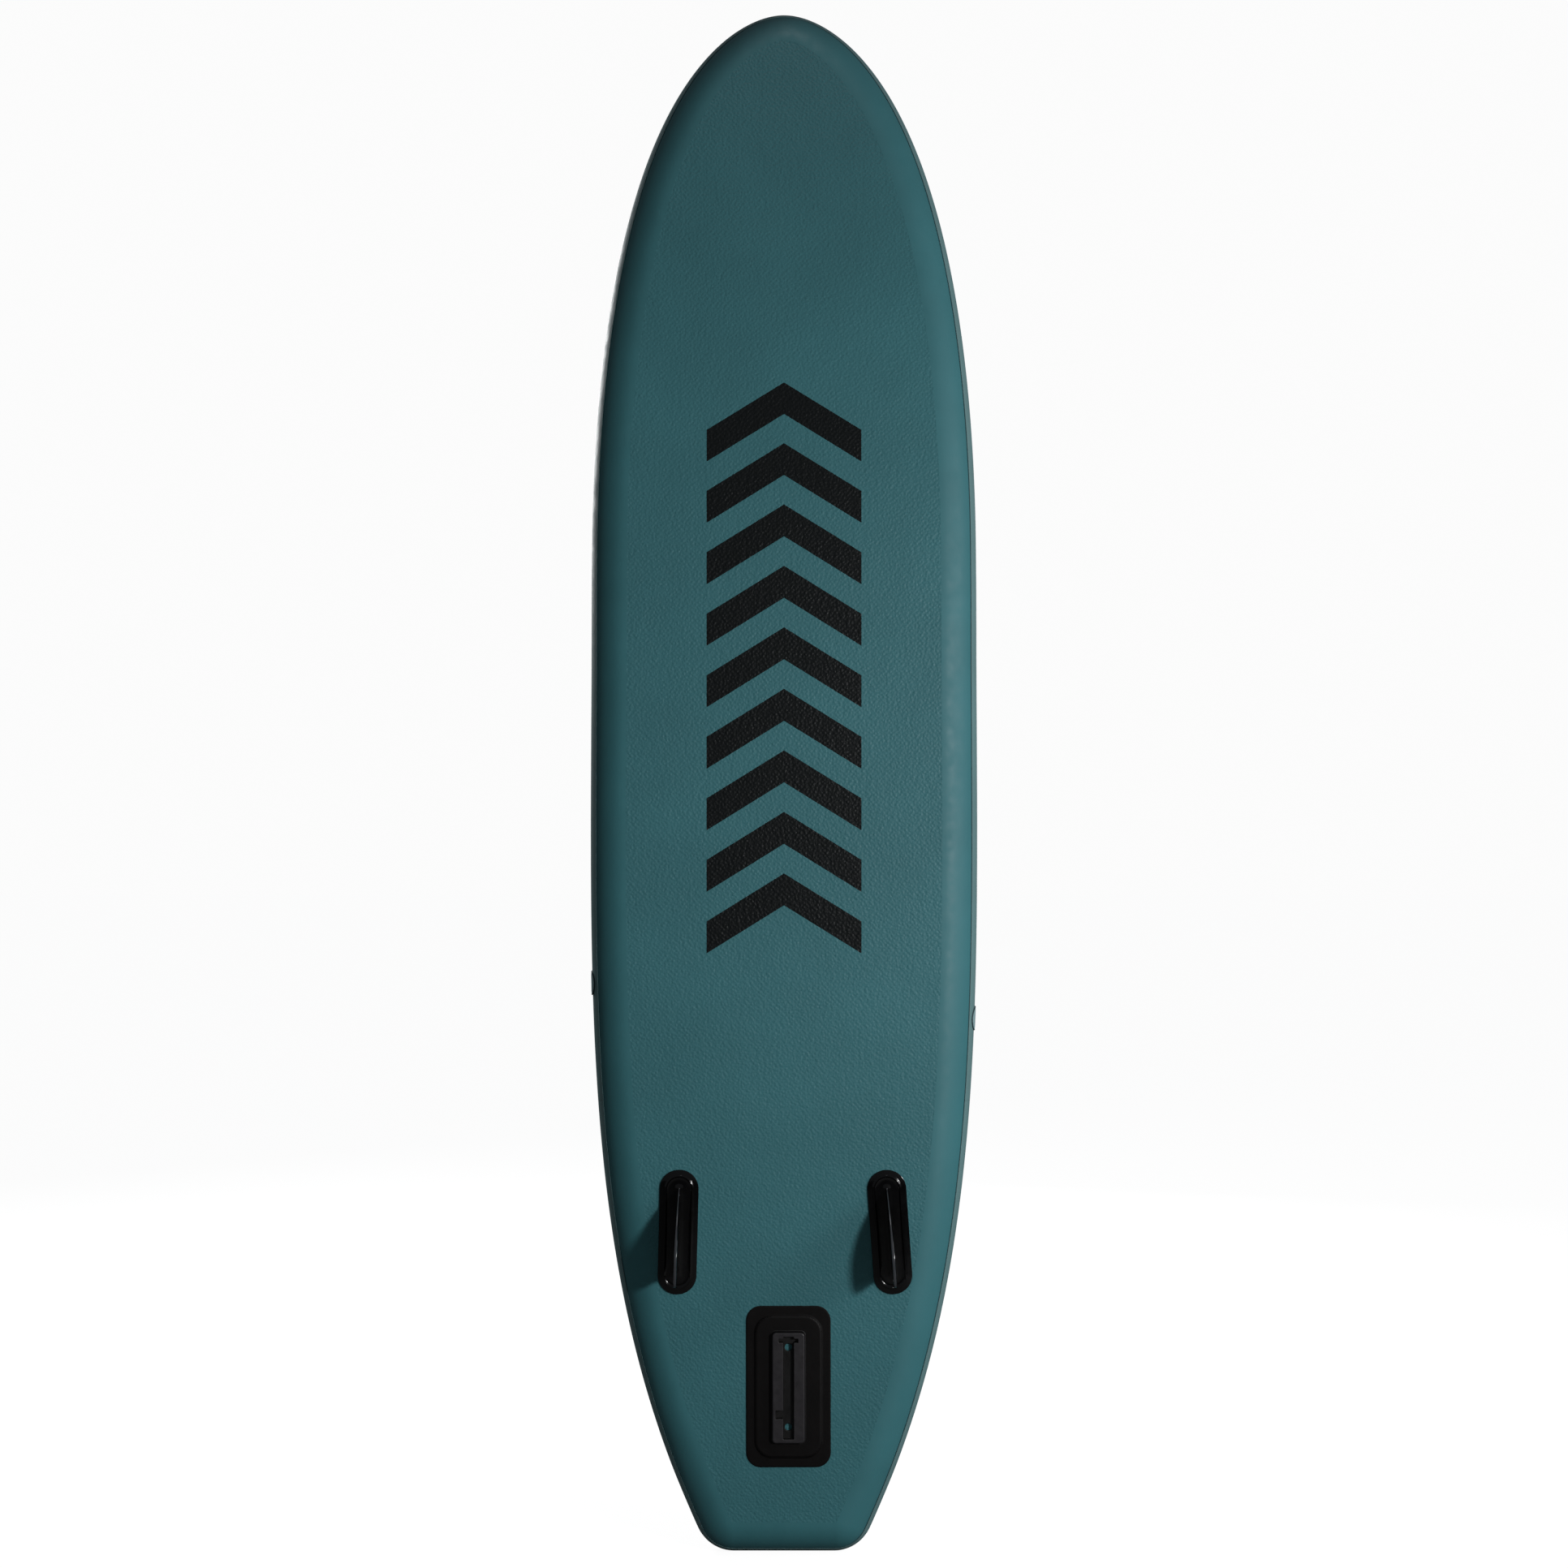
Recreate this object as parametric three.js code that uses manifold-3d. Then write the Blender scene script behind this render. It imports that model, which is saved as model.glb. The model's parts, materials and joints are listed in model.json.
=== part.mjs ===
// Inflatable stand up paddleboard, millimetres, standing on its tail.
// Origin: middle of the tail end, half way through the board's thickness.
// +Z runs from tail to nose, +X across the board, +Y from the hull bottom (fins) to the deck.
// Pieces are drawn with y = 0 on the flat hull bottom, and addPiece lowers them by half the thickness.
import * as THREE from 'three';
import { mergeVertices } from 'three/addons/utils/BufferGeometryUtils.js';
import Module from 'manifold-3d';

const wasm = await Module();
wasm.setup();

// ---------- driving dimensions ----------
const LENGTH = 3200;
const THICKNESS = 150;
const RAIL_RADIUS = THICKNESS / 2;
const GAP = 0.3; // room left between neighbouring pieces
const SHEET = 1.2; // coated fabric of the skins and rails
const CLOTH = 1.0; // woven base cloth of the drop-stitch core
const DECK = THICKNESS;

// the flat panel inside the rails: half widths and the handles of its two curves
const PANEL_HALF_WIDTH = 320;
const WIDEST_Z = 2000;
const TAIL_HALF_WIDTH = 103;
const TAIL_CORNER = 6;
const TAIL_FLARE = THREE.MathUtils.degToRad(25);
const HIP_REACH = 590;
const MIDDLE_REACH = 800;
const NOSE_REACH = 975;
const NOSE_BLUNTNESS = 60;

// the nose lifts toward the deck side; the rest of the board is flat
const ROCKER_START = 2000;
const NOSE_LIFT = 140;

const FIN = {
  spread: 215, z: 666, baseWidth: 79, baseLength: 253, baseThickness: 3,
  ringInset: 10, ringWidth: 5, ringHeight: 2.5,
  height: 120, thickness: 7, footFront: 92, crest: -52, heel: -91, footBack: -86,
};
const FIN_TOE_IN = { left: 1.5, right: 3.9 }; // degrees, the two are not glued on alike
const FIN_BOX = {
  x: 9, z: 352, lean: 1.1, patchWidth: 172, patchLength: 328, patchCorner: 30,
  flangeWidth: 134, flangeLength: 286, flangeCorner: 34, flangeThickness: 3, flangeEdge: 1.5,
  width: 69, length: 227, corner: 10, edge: 3, height: 14, floor: 4,
  slotWidth: 22, slotLength: 208, crossWidth: 40, crossHeight: 8, crossInset: 8,
  notchWidth: 16, notchLength: 17, notchInset: 50, holeRadius: 7.5, holeSpacing: 162,
};
const PAD = { start: 430, middle: 1600, end: 1980, thickness: 5, sideInset: 26, seam: 3 };
const KICK = { start: 345, length: 80, width: 300, height: 25, crown: 10, chamfer: 4, bow: 22 };
const HANDLE = {
  z: PAD.middle, span: 260, rise: 32, width: 38, thickness: 2.4,
  gripLength: 125, gripRadius: 14, tabWidth: 70, tabLength: 52, tabThickness: 2.6,
  wellWidth: 130, wellLength: 400,
};
const RING = { rod: 2.5, halfWidth: 18, height: 21, clearance: 0.6, strap: 1.3, strapWidth: 25, tail: 30 };
const BUNGEE = { zFront: 2640, zRear: 2240, xFront: 150, xRear: 205, cord: 3, tilt: 38 };
const TOW_Z = 2960;
const LEASH_Z = 130;
const RAIL_RING = {
  left: 1168, right: 1097, angle: THREE.MathUtils.degToRad(30),
  halfWidth: 25, hullReach: 75, deckReach: 32, top: 2.4, tail: 14,
};
const VALVE = { x: 112, z: 225, bore: 20, tube: 24.5, flange: 34, depth: 38, cap: 31 };
const THREADS = { side: 5, rowPitch: 150, columnPitch: 140, firstRow: 130, margin: 30 };

// angles up from the rail's widest line where its section bends
const BAND_EDGE = 34;
const RAIL_ANGLES = [-90, -62, -BAND_EDGE, -BAND_EDGE / 3, BAND_EDGE / 3, BAND_EDGE, 62, 90];
const BAND_ANGLES = RAIL_ANGLES.filter((angle) => Math.abs(angle) <= BAND_EDGE);

const LOOKS = {
  hullPvc: ['#365d62', 0.55, 0],
  deckPvc: ['#3f6a6f', 0.55, 0],
  railPvc: ['#3b6468', 0.4, 0],
  cloth: ['#d8d8d2', 0.9, 0],
  patchPvc: ['#151616', 0.7, 0],
  mouldedPlastic: ['#101011', 0.35, 0],
  finPlastic: ['#08080a', 0.15, 0],
  foam: ['#39444a', 0.9, 0],
  webbing: ['#191b1c', 0.85, 0],
  neoprene: ['#202325', 0.8, 0],
  steel: ['#c9cccf', 0.2, 1],
  cord: ['#1c1f21', 0.75, 0],
  rubber: ['#222222', 0.8, 0],
  valvePlastic: ['#8b9296', 0.45, 0],
};

const board = new THREE.Group();
board.name = 'paddleboard';

// ---------- geometry helpers ----------

// Position-only geometry with shared corners and no collapsed triangles.
function weld(geometry) {
  const bare = new THREE.BufferGeometry();
  bare.setAttribute('position', geometry.getAttribute('position').clone());
  if (geometry.index) {
    bare.setIndex(geometry.index.clone());
  }
  const merged = mergeVertices(bare, 1e-4);
  const index = merged.index.array;
  const kept = [];
  for (let i = 0; i < index.length; i += 3) {
    const [a, b, c] = [index[i], index[i + 1], index[i + 2]];
    if (a !== b && b !== c && c !== a) {
      kept.push(a, b, c);
    }
  }
  merged.setIndex(kept);
  return merged;
}

// A solid that booleans accept, from a closed geometry or from an earlier boolean.
function toSolid(shape) {
  if (shape instanceof wasm.Manifold) {
    return shape;
  }
  const welded = weld(shape);
  return new wasm.Manifold(new wasm.Mesh({
    numProp: 3,
    vertProperties: new Float32Array(welded.getAttribute('position').array),
    triVerts: new Uint32Array(welded.index.array),
  }));
}

function toGeometry(solid) {
  if (!(solid instanceof wasm.Manifold)) {
    return solid;
  }
  const mesh = solid.getMesh();
  const geometry = new THREE.BufferGeometry();
  geometry.setAttribute('position', new THREE.BufferAttribute(new Float32Array(mesh.vertProperties), 3));
  geometry.setIndex(Array.from(mesh.triVerts));
  return geometry;
}

function union(...shapes) {
  return shapes.map(toSolid).reduce((sum, next) => sum.add(next));
}

function cut(shape, ...tools) {
  return tools.map(toSolid).reduce((rest, tool) => rest.subtract(tool), toSolid(shape));
}

// Add a named piece to the board, centred on its thickness, with flat-shaded normals and its own material.
function addPiece(name, geometry, look) {
  const [color, roughness, metalness] = LOOKS[look];
  const shown = weld(toGeometry(geometry)).toNonIndexed().translate(0, -THICKNESS / 2, 0);
  shown.computeVertexNormals();
  const mesh = new THREE.Mesh(shown, new THREE.MeshStandardMaterial({ color, roughness, metalness }));
  mesh.name = name;
  board.add(mesh);
}

// Move every corner of a geometry with a function of its position.
function reshape(geometry, move) {
  const position = geometry.getAttribute('position');
  const corner = new THREE.Vector3();
  for (let i = 0; i < position.count; i += 1) {
    corner.fromBufferAttribute(position, i);
    move(corner, i);
    position.setXYZ(i, corner.x, corner.y, corner.z);
  }
  return geometry;
}

function rocker(z) {
  const along = Math.max(0, (z - ROCKER_START) / (LENGTH - ROCKER_START));
  return NOSE_LIFT * along ** 2;
}

function rockerSlope(z) {
  const along = Math.max(0, (z - ROCKER_START) / (LENGTH - ROCKER_START));
  return Math.atan((2 * NOSE_LIFT * along) / (LENGTH - ROCKER_START));
}

const bendWithRocker = (geometry) => reshape(geometry, (corner) => {
  corner.y += rocker(corner.z);
});

// Extrude a shape drawn in x and z, so that it fills the heights from low to high.
function plate(shape, low, high, curveSegments = 10, bevel = 0) {
  const solid = new THREE.ExtrudeGeometry(shape, {
    depth: high - low - bevel,
    curveSegments,
    bevelEnabled: bevel > 0,
    bevelThickness: bevel,
    bevelSize: bevel,
    bevelOffset: -bevel,
    bevelSegments: 1,
  });
  if (bevel > 0) {
    // only the high side keeps its chamfer: the low side is pressed flat
    reshape(solid, (corner) => {
      corner.z = Math.max(0, corner.z);
    });
  }
  // shape x, y and depth become board x, z and y
  return flip(reshape(solid, (corner) => {
    corner.set(corner.x, low + corner.z, corner.y);
  }));
}

// Swapping two axes turns a solid inside out: turn its triangles round again.
function flip(geometry) {
  const position = geometry.getAttribute('position');
  const [a, b] = [new THREE.Vector3(), new THREE.Vector3()];
  for (let i = 0; i < position.count; i += 3) {
    a.fromBufferAttribute(position, i);
    b.fromBufferAttribute(position, i + 1);
    position.setXYZ(i, b.x, b.y, b.z);
    position.setXYZ(i + 1, a.x, a.y, a.z);
  }
  return geometry;
}

function roundedRectangle(width, length, corner) {
  const [w, l] = [width / 2, length / 2];
  const shape = new THREE.Shape();
  shape.moveTo(-w + corner, -l);
  shape.lineTo(w - corner, -l);
  shape.absarc(w - corner, -l + corner, corner, -Math.PI / 2, 0);
  shape.lineTo(w, l - corner);
  shape.absarc(w - corner, l - corner, corner, 0, Math.PI / 2);
  shape.lineTo(-w + corner, l);
  shape.absarc(-w + corner, l - corner, corner, Math.PI / 2, Math.PI);
  shape.lineTo(-w, -l + corner);
  shape.absarc(-w + corner, -l + corner, corner, Math.PI, Math.PI * 1.5);
  return shape;
}

// Turn a profile of [radius, height] pairs round the Y axis.
function turned(profile, segments) {
  const points = profile.map(([radius, height]) => new THREE.Vector2(radius, height));
  return new THREE.LatheGeometry(points, segments);
}

const ringProfile = (inner, outer, low, high) => (
  [[inner, low], [outer, low], [outer, high], [inner, high], [inner, low]]
);

function upright(radius, low, high, segments = 24) {
  return new THREE.CylinderGeometry(radius, radius, high - low, segments).translate(0, (low + high) / 2, 0);
}

// A strap of even thickness along 2-D points, extruded across by its width: points x and y, width along z.
function ribbon(points, thickness, width) {
  const sideways = points.map((point, i) => {
    const way = new THREE.Vector2()
      .subVectors(points[Math.min(i + 1, points.length - 1)], points[Math.max(i - 1, 0)])
      .normalize();
    return new THREE.Vector2(-way.y, way.x).multiplyScalar(thickness / 2);
  });
  const upper = points.map((point, i) => point.clone().add(sideways[i]));
  const lower = points.map((point, i) => point.clone().sub(sideways[i]));
  const strap = new THREE.ExtrudeGeometry(new THREE.Shape([...lower, ...upper.reverse()]), {
    depth: width, bevelEnabled: false,
  });
  return strap.translate(0, 0, -width / 2);
}

// ---------- the board's outline ----------

// Right half of the flat panel's edge from nose to tail, each point with its outward direction.
function panelEdge() {
  const nose = new THREE.CubicBezierCurve(
    new THREE.Vector2(0, LENGTH - RAIL_RADIUS),
    new THREE.Vector2(NOSE_BLUNTNESS, LENGTH - RAIL_RADIUS),
    new THREE.Vector2(PANEL_HALF_WIDTH, WIDEST_Z + NOSE_REACH),
    new THREE.Vector2(PANEL_HALF_WIDTH, WIDEST_Z),
  );
  const cornerCentre = new THREE.Vector2(TAIL_HALF_WIDTH, RAIL_RADIUS + TAIL_CORNER);
  const along = new THREE.Vector2(Math.sin(TAIL_FLARE), Math.cos(TAIL_FLARE));
  const cornerTop = new THREE.Vector2(Math.cos(TAIL_FLARE), -Math.sin(TAIL_FLARE))
    .multiplyScalar(TAIL_CORNER).add(cornerCentre);
  const hip = new THREE.CubicBezierCurve(
    new THREE.Vector2(PANEL_HALF_WIDTH, WIDEST_Z),
    new THREE.Vector2(PANEL_HALF_WIDTH, WIDEST_Z - MIDDLE_REACH),
    along.clone().multiplyScalar(HIP_REACH).add(cornerTop),
    cornerTop,
  );
  const corner = new THREE.EllipseCurve(
    cornerCentre.x, cornerCentre.y, TAIL_CORNER, TAIL_CORNER, -TAIL_FLARE, -Math.PI / 2, true,
  );
  const points = [];
  const sample = (curve, steps, spread) => {
    for (let i = 0; i < steps; i += 1) {
      const t = spread(i / steps);
      const [at, way] = [curve.getPoint(t), curve.getTangent(t)];
      points.push({ x: at.x, z: at.y, outX: -way.y, outZ: way.x });
    }
  };
  sample(nose, 19, (t) => t);
  sample(hip, 13, (t) => t);
  sample(corner, 5, (t) => t);
  points.push({ x: TAIL_HALF_WIDTH, z: RAIL_RADIUS, outX: 0, outZ: -1 });
  return points;
}

const EDGE = panelEdge();

// The closed loop: nose, right side, tail, left side.
const LOOP = [
  ...EDGE,
  ...EDGE.slice(1).reverse().map((p) => ({ x: -p.x, z: p.z, outX: -p.outX, outZ: p.outZ })),
];

// Point of the right-hand edge at a height, with its outward direction.
function edgeAt(z) {
  const i = EDGE.findIndex((p) => p.z < z);
  const [above, below] = [EDGE[i - 1], EDGE[i]];
  const share = (above.z - z) / (above.z - below.z);
  const way = new THREE.Vector2(above.x - below.x, above.z - below.z).normalize();
  return { x: above.x + (below.x - above.x) * share, z, outX: way.y, outZ: -way.x };
}

// A sheet that fills the flat panel between two heights.
function panelSheet(low, high) {
  const stations = [...EDGE].reverse();
  const last = stations.length - 1;
  const sheet = new THREE.BoxGeometry(2, high - low, 1, 2, 1, last);
  return bendWithRocker(reshape(sheet, (corner) => {
    const edge = stations[Math.round((corner.z + 0.5) * last)];
    corner.set(
      corner.x * (edge.x - GAP * edge.outX),
      corner.y + (low + high) / 2,
      edge.z - GAP * edge.outZ,
    );
  }));
}

// A shell wrapped round the rails: an arc section of the given radii, carried along the panel's edge.
function railShell(inner, outer, angles) {
  const at = (radius, degrees) => {
    const angle = THREE.MathUtils.degToRad(degrees);
    return [1 + radius * Math.cos(angle), RAIL_RADIUS + radius * Math.sin(angle)];
  };
  const section = [
    ...angles.map((angle) => at(outer, angle)),
    ...[...angles].reverse().map((angle) => at(inner, angle)),
  ];
  const profile = [...section, section[0]];
  const ring = turned(profile, LOOP.length);
  return bendWithRocker(reshape(ring, (corner, i) => {
    const edge = LOOP[Math.floor(i / profile.length) % LOOP.length];
    const [radius, height] = profile[i % profile.length];
    const out = radius - 1;
    corner.set(edge.x + out * edge.outX, height, edge.z + out * edge.outZ);
  }));
}

// ---------- hull, deck and core ----------

const valveHole = (radius) => (
  upright(radius, DECK / 2, DECK + 10, 32).translate(VALVE.x, 0, VALVE.z)
);

// Two base cloths held apart by bundles of threads, a coarse stand-in for the thousands of real ones.
function dropStitchCore() {
  const [low, high] = [SHEET + GAP, DECK - SHEET - GAP];
  const deckCloth = cut(panelSheet(high - CLOTH, high), valveHole(VALVE.tube + 1));
  const bundles = [];
  const { side, rowPitch, columnPitch, firstRow, margin } = THREADS;
  const length = high - low - CLOTH;
  for (let z = firstRow; z < LENGTH - RAIL_RADIUS - margin; z += rowPitch) {
    const reach = Math.floor((edgeAt(z).x - margin) / columnPitch);
    for (let column = -reach; column <= reach; column += 1) {
      const x = column * columnPitch;
      if (Math.hypot(x - VALVE.x, z - VALVE.z) > VALVE.flange + margin) {
        const bundle = new THREE.BoxGeometry(side, length, side).translate(x, DECK / 2, z);
        bundles.push(bendWithRocker(bundle));
      }
    }
  }
  return union(panelSheet(low, low + CLOTH), deckCloth, ...bundles);
}

function addHull() {
  addPiece('hull_skin', panelSheet(0, SHEET), 'hullPvc');
  addPiece('deck_skin', cut(panelSheet(DECK - SHEET, DECK), valveHole(VALVE.tube + 1)), 'deckPvc');
  addPiece('drop_stitch_core', dropStitchCore(), 'cloth');
  addPiece('rail_wall', railShell(RAIL_RADIUS - SHEET, RAIL_RADIUS, RAIL_ANGLES), 'railPvc');
  const band = RAIL_RADIUS + GAP;
  addPiece('rail_band', railShell(band, band + SHEET, BAND_ANGLES), 'railPvc');
}

// ---------- fins ----------

// Carry a piece built on the hull side (its own +Y outward) to its place under the hull.
function placeUnderHull(shape, x, z, turn) {
  return toGeometry(shape)
    .rotateZ(Math.PI)
    .rotateY(THREE.MathUtils.degToRad(turn))
    .translate(x, -GAP, z);
}

// Blade with a curved leading edge and an upright trailing edge, seen from the side: z and height.
function finBlade() {
  const { height, footFront, crest, heel, footBack } = FIN;
  const shape = new THREE.Shape();
  shape.moveTo(footFront, 0);
  shape.bezierCurveTo(footFront * 0.72, height * 0.45, footFront * 0.2, height, crest, height);
  shape.bezierCurveTo(heel * 0.86, height, heel, height * 0.99, heel, height * 0.88);
  shape.bezierCurveTo(heel, height * 0.65, heel * 0.86, height * 0.4, footBack, 0);
  const blade = new THREE.ExtrudeGeometry(shape, {
    depth: FIN.thickness - 4,
    curveSegments: 8,
    bevelThickness: 2,
    bevelSize: 1.5,
    bevelOffset: -1.5,
    bevelSegments: 1,
  });
  // shape x, y and depth become board z, y and x
  return flip(reshape(blade.translate(0, 0, -(FIN.thickness - 4) / 2), (corner) => {
    corner.set(corner.z, corner.y + FIN.baseThickness - 1, corner.x);
  }));
}

function sideFin() {
  const pill = (inset) => roundedRectangle(
    FIN.baseWidth - 2 * inset, FIN.baseLength - 2 * inset, FIN.baseWidth / 2 - inset - 1,
  );
  const base = plate(pill(0), 0, FIN.baseThickness, 7, 1.5);
  const ring = plate(pill(FIN.ringInset), 1, FIN.baseThickness + FIN.ringHeight, 7, 1.5);
  const hollow = plate(pill(FIN.ringInset + FIN.ringWidth), FIN.baseThickness, 20, 7);
  return union(cut(union(base, ring), hollow), finBlade());
}

function finPatch() {
  const shape = roundedRectangle(FIN_BOX.patchWidth, FIN_BOX.patchLength, FIN_BOX.patchCorner);
  return cut(plate(shape, 0, SHEET, 8), ...boxHoles());
}

function boxHoles() {
  return [-1, 1].map((side) => (
    upright(FIN_BOX.holeRadius, -5, 10, 16).translate(0, 0, (side * FIN_BOX.holeSpacing) / 2)
  ));
}

// Flanged base with a raised box, a slot for a slide-in fin, its cross opening and a notch in one lip.
function finBox() {
  const { slotWidth, slotLength, notchWidth } = FIN_BOX;
  const foot = SHEET + GAP;
  const top = foot + FIN_BOX.height;
  const flangeShape = roundedRectangle(FIN_BOX.flangeWidth, FIN_BOX.flangeLength, FIN_BOX.flangeCorner);
  const flange = plate(flangeShape, foot, foot + FIN_BOX.flangeThickness, 8, FIN_BOX.flangeEdge);
  const raisedShape = roundedRectangle(FIN_BOX.width, FIN_BOX.length, FIN_BOX.corner);
  const raised = plate(raisedShape, foot + 1, top, 4, FIN_BOX.edge);
  const floor = foot + FIN_BOX.floor;
  const opening = (width, length, x, z) => (
    new THREE.BoxGeometry(width, FIN_BOX.height * 2, length).translate(x, floor + FIN_BOX.height, z)
  );
  const slot = opening(slotWidth, slotLength, 0, 0);
  const cross = opening(FIN_BOX.crossWidth, FIN_BOX.crossHeight, 0, slotLength / 2 - FIN_BOX.crossInset);
  const notch = opening(
    notchWidth, FIN_BOX.notchLength, (slotWidth + notchWidth - 1) / 2, FIN_BOX.notchInset - slotLength / 2,
  );
  return cut(union(flange, raised), slot, cross, notch, ...boxHoles());
}

function addFins() {
  for (const [side, sign] of [['left', -1], ['right', 1]]) {
    const fin = placeUnderHull(sideFin(), sign * FIN.spread, FIN.z, -sign * FIN_TOE_IN[side]);
    addPiece(`side_fin_${side}`, fin, 'finPlastic');
  }
  addPiece('fin_patch', placeUnderHull(finPatch(), FIN_BOX.x, FIN_BOX.z, -FIN_BOX.lean), 'patchPvc');
  addPiece('fin_box', placeUnderHull(finBox(), FIN_BOX.x, FIN_BOX.z, -FIN_BOX.lean), 'mouldedPlastic');
}

// ---------- deck pads ----------

const padSide = (z) => edgeAt(z).x - PAD.sideInset;

// One half of the traction pad, with a half well for the carry handle at its inner end.
function padShape(outerZ, innerZ, corner) {
  const way = Math.sign(innerZ - outerZ);
  const [well, depth, steps] = [HANDLE.wellWidth / 2, HANDLE.wellLength / 2, 6];
  const shape = new THREE.Shape();
  const side = (sign, from, to) => {
    for (let i = 0; i <= steps; i += 1) {
      const z = THREE.MathUtils.lerp(from, to, i / steps);
      shape.lineTo(sign * padSide(z), z);
    }
  };
  shape.moveTo(-padSide(outerZ) + corner, outerZ);
  shape.lineTo(padSide(outerZ) - corner, outerZ);
  side(1, outerZ + way * corner, innerZ);
  shape.lineTo(well, innerZ);
  shape.lineTo(well, innerZ - way * (depth - well));
  shape.absarc(0, innerZ - way * (depth - well), well, 0, -way * Math.PI, way > 0);
  shape.lineTo(-well, innerZ);
  side(-1, innerZ, outerZ + way * corner);
  return shape;
}

function kickPad() {
  const { length, width, height, crown, chamfer } = KICK;
  const profile = new THREE.Shape();
  profile.moveTo(0, 0);
  profile.lineTo(length, 0);
  profile.lineTo(length, PAD.thickness);
  profile.bezierCurveTo(length * 0.6, PAD.thickness, length * 0.4, height, crown, height);
  profile.lineTo(chamfer, height);
  profile.lineTo(0, height - chamfer);
  const wedge = new THREE.ExtrudeGeometry(profile, {
    depth: width, curveSegments: 8, steps: 8, bevelEnabled: false,
  });
  // bow the wedge toward the tail at its middle
  return flip(reshape(wedge, (corner) => {
    const x = corner.z - width / 2;
    const bow = KICK.bow * (1 - (2 * x / width) ** 2);
    corner.set(x, DECK + GAP + corner.y, KICK.start + corner.x - bow);
  }));
}

function addPads() {
  const [low, high] = [DECK + GAP, DECK + GAP + PAD.thickness];
  const rear = plate(padShape(PAD.start, PAD.middle - PAD.seam / 2, 40), low, high, 12);
  const front = plate(padShape(PAD.end, PAD.middle + PAD.seam / 2, 90), low, high, 12);
  addPiece('deck_pad_rear', rear, 'foam');
  addPiece('deck_pad_front', front, 'foam');
  addPiece('kick_pad', kickPad(), 'foam');
}

// ---------- D-rings ----------

// Local frame of a ring set: X along its bar, Y away from the board, Z the way the ring points.
// The webbing that wraps the bar leaves the rod some clearance.
const LOOP_INNER = RING.rod + RING.clearance;
const BAR_HEIGHT = LOOP_INNER + RING.strap + 0.2;

// A straight bar with cut corners, closed by a half circle.
function ringPath() {
  const { halfWidth: half, height } = RING;
  const corner = height - half;
  const points = [[-half + corner, 0], [half - corner, 0]];
  for (let i = 0; i <= 4; i += 1) {
    const angle = (i / 4) * Math.PI;
    points.push([half * Math.cos(angle), corner + half * Math.sin(angle)]);
  }
  return points.map(([x, z]) => new THREE.Vector3(x, 0, z));
}

// A closed rod through the given corners, with one ring of vertices at each.
function closedRod(corners, radius, sides) {
  class CornerCurve extends THREE.Curve {
    getPoint(t, target = new THREE.Vector3()) {
      return target.copy(corners[Math.round(t * corners.length) % corners.length]);
    }

    getPointAt(t, target) {
      return this.getPoint(t, target);
    }

    getTangentAt(t, target = new THREE.Vector3()) {
      const i = Math.round(t * corners.length);
      const before = corners[(i - 1 + corners.length) % corners.length];
      const after = corners[(i + 1) % corners.length];
      return target.subVectors(after, before).normalize();
    }
  }
  return new THREE.TubeGeometry(new CornerCurve(), corners.length, radius, sides, true);
}

// Webbing folded round the ring's bar and sewn flat behind it.
function ringLoop(tail) {
  const outer = BAR_HEIGHT;
  const doubled = 2 * RING.strap;
  const back = Math.asin((outer - doubled) / outer);
  const shape = new THREE.Shape();
  shape.moveTo(-tail, 0);
  shape.lineTo(0, 0);
  shape.absarc(0, outer, outer, -Math.PI / 2, Math.PI + back);
  shape.lineTo(-tail, doubled);
  const hole = new THREE.Path();
  hole.absarc(0, outer, LOOP_INNER, 0, Math.PI * 2, true);
  shape.holes.push(hole);
  const loop = new THREE.ExtrudeGeometry(shape, {
    depth: RING.strapWidth, curveSegments: 5, bevelEnabled: false,
  }).translate(0, 0, -RING.strapWidth / 2);
  // shape x, y and depth become local z, y and x
  return flip(reshape(loop, (corner) => {
    corner.set(corner.z, corner.y, corner.x);
  }));
}

// Base, webbing loop and steel ring, all carried by one matrix.
function addRingSet(name, matrix, base, lift = 0) {
  const top = base.top + GAP;
  const ring = closedRod(ringPath(), RING.rod, 8).rotateX(-THREE.MathUtils.degToRad(lift));
  addPiece(`${name}_base`, base.geometry.applyMatrix4(matrix), base.look);
  addPiece(`${name}_loop`, ringLoop(base.tail).translate(0, top, 0).applyMatrix4(matrix), 'webbing');
  addPiece(`${name}_ring`, ring.translate(0, BAR_HEIGHT + top, 0).applyMatrix4(matrix), 'steel');
}

function fabricDisc(radius) {
  const top = GAP + SHEET;
  return { geometry: upright(radius, GAP, top, 20), top, tail: RING.tail, look: 'deckPvc' };
}

// Place a local frame on the deck, its Z turned by an angle from the tail-to-nose direction.
function onDeck(x, z, turn) {
  const place = new THREE.Matrix4().makeTranslation(x, DECK + rocker(z) + 0.25, z);
  return place
    .multiply(new THREE.Matrix4().makeRotationX(-rockerSlope(z)))
    .multiply(new THREE.Matrix4().makeRotationY(turn));
}

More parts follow.
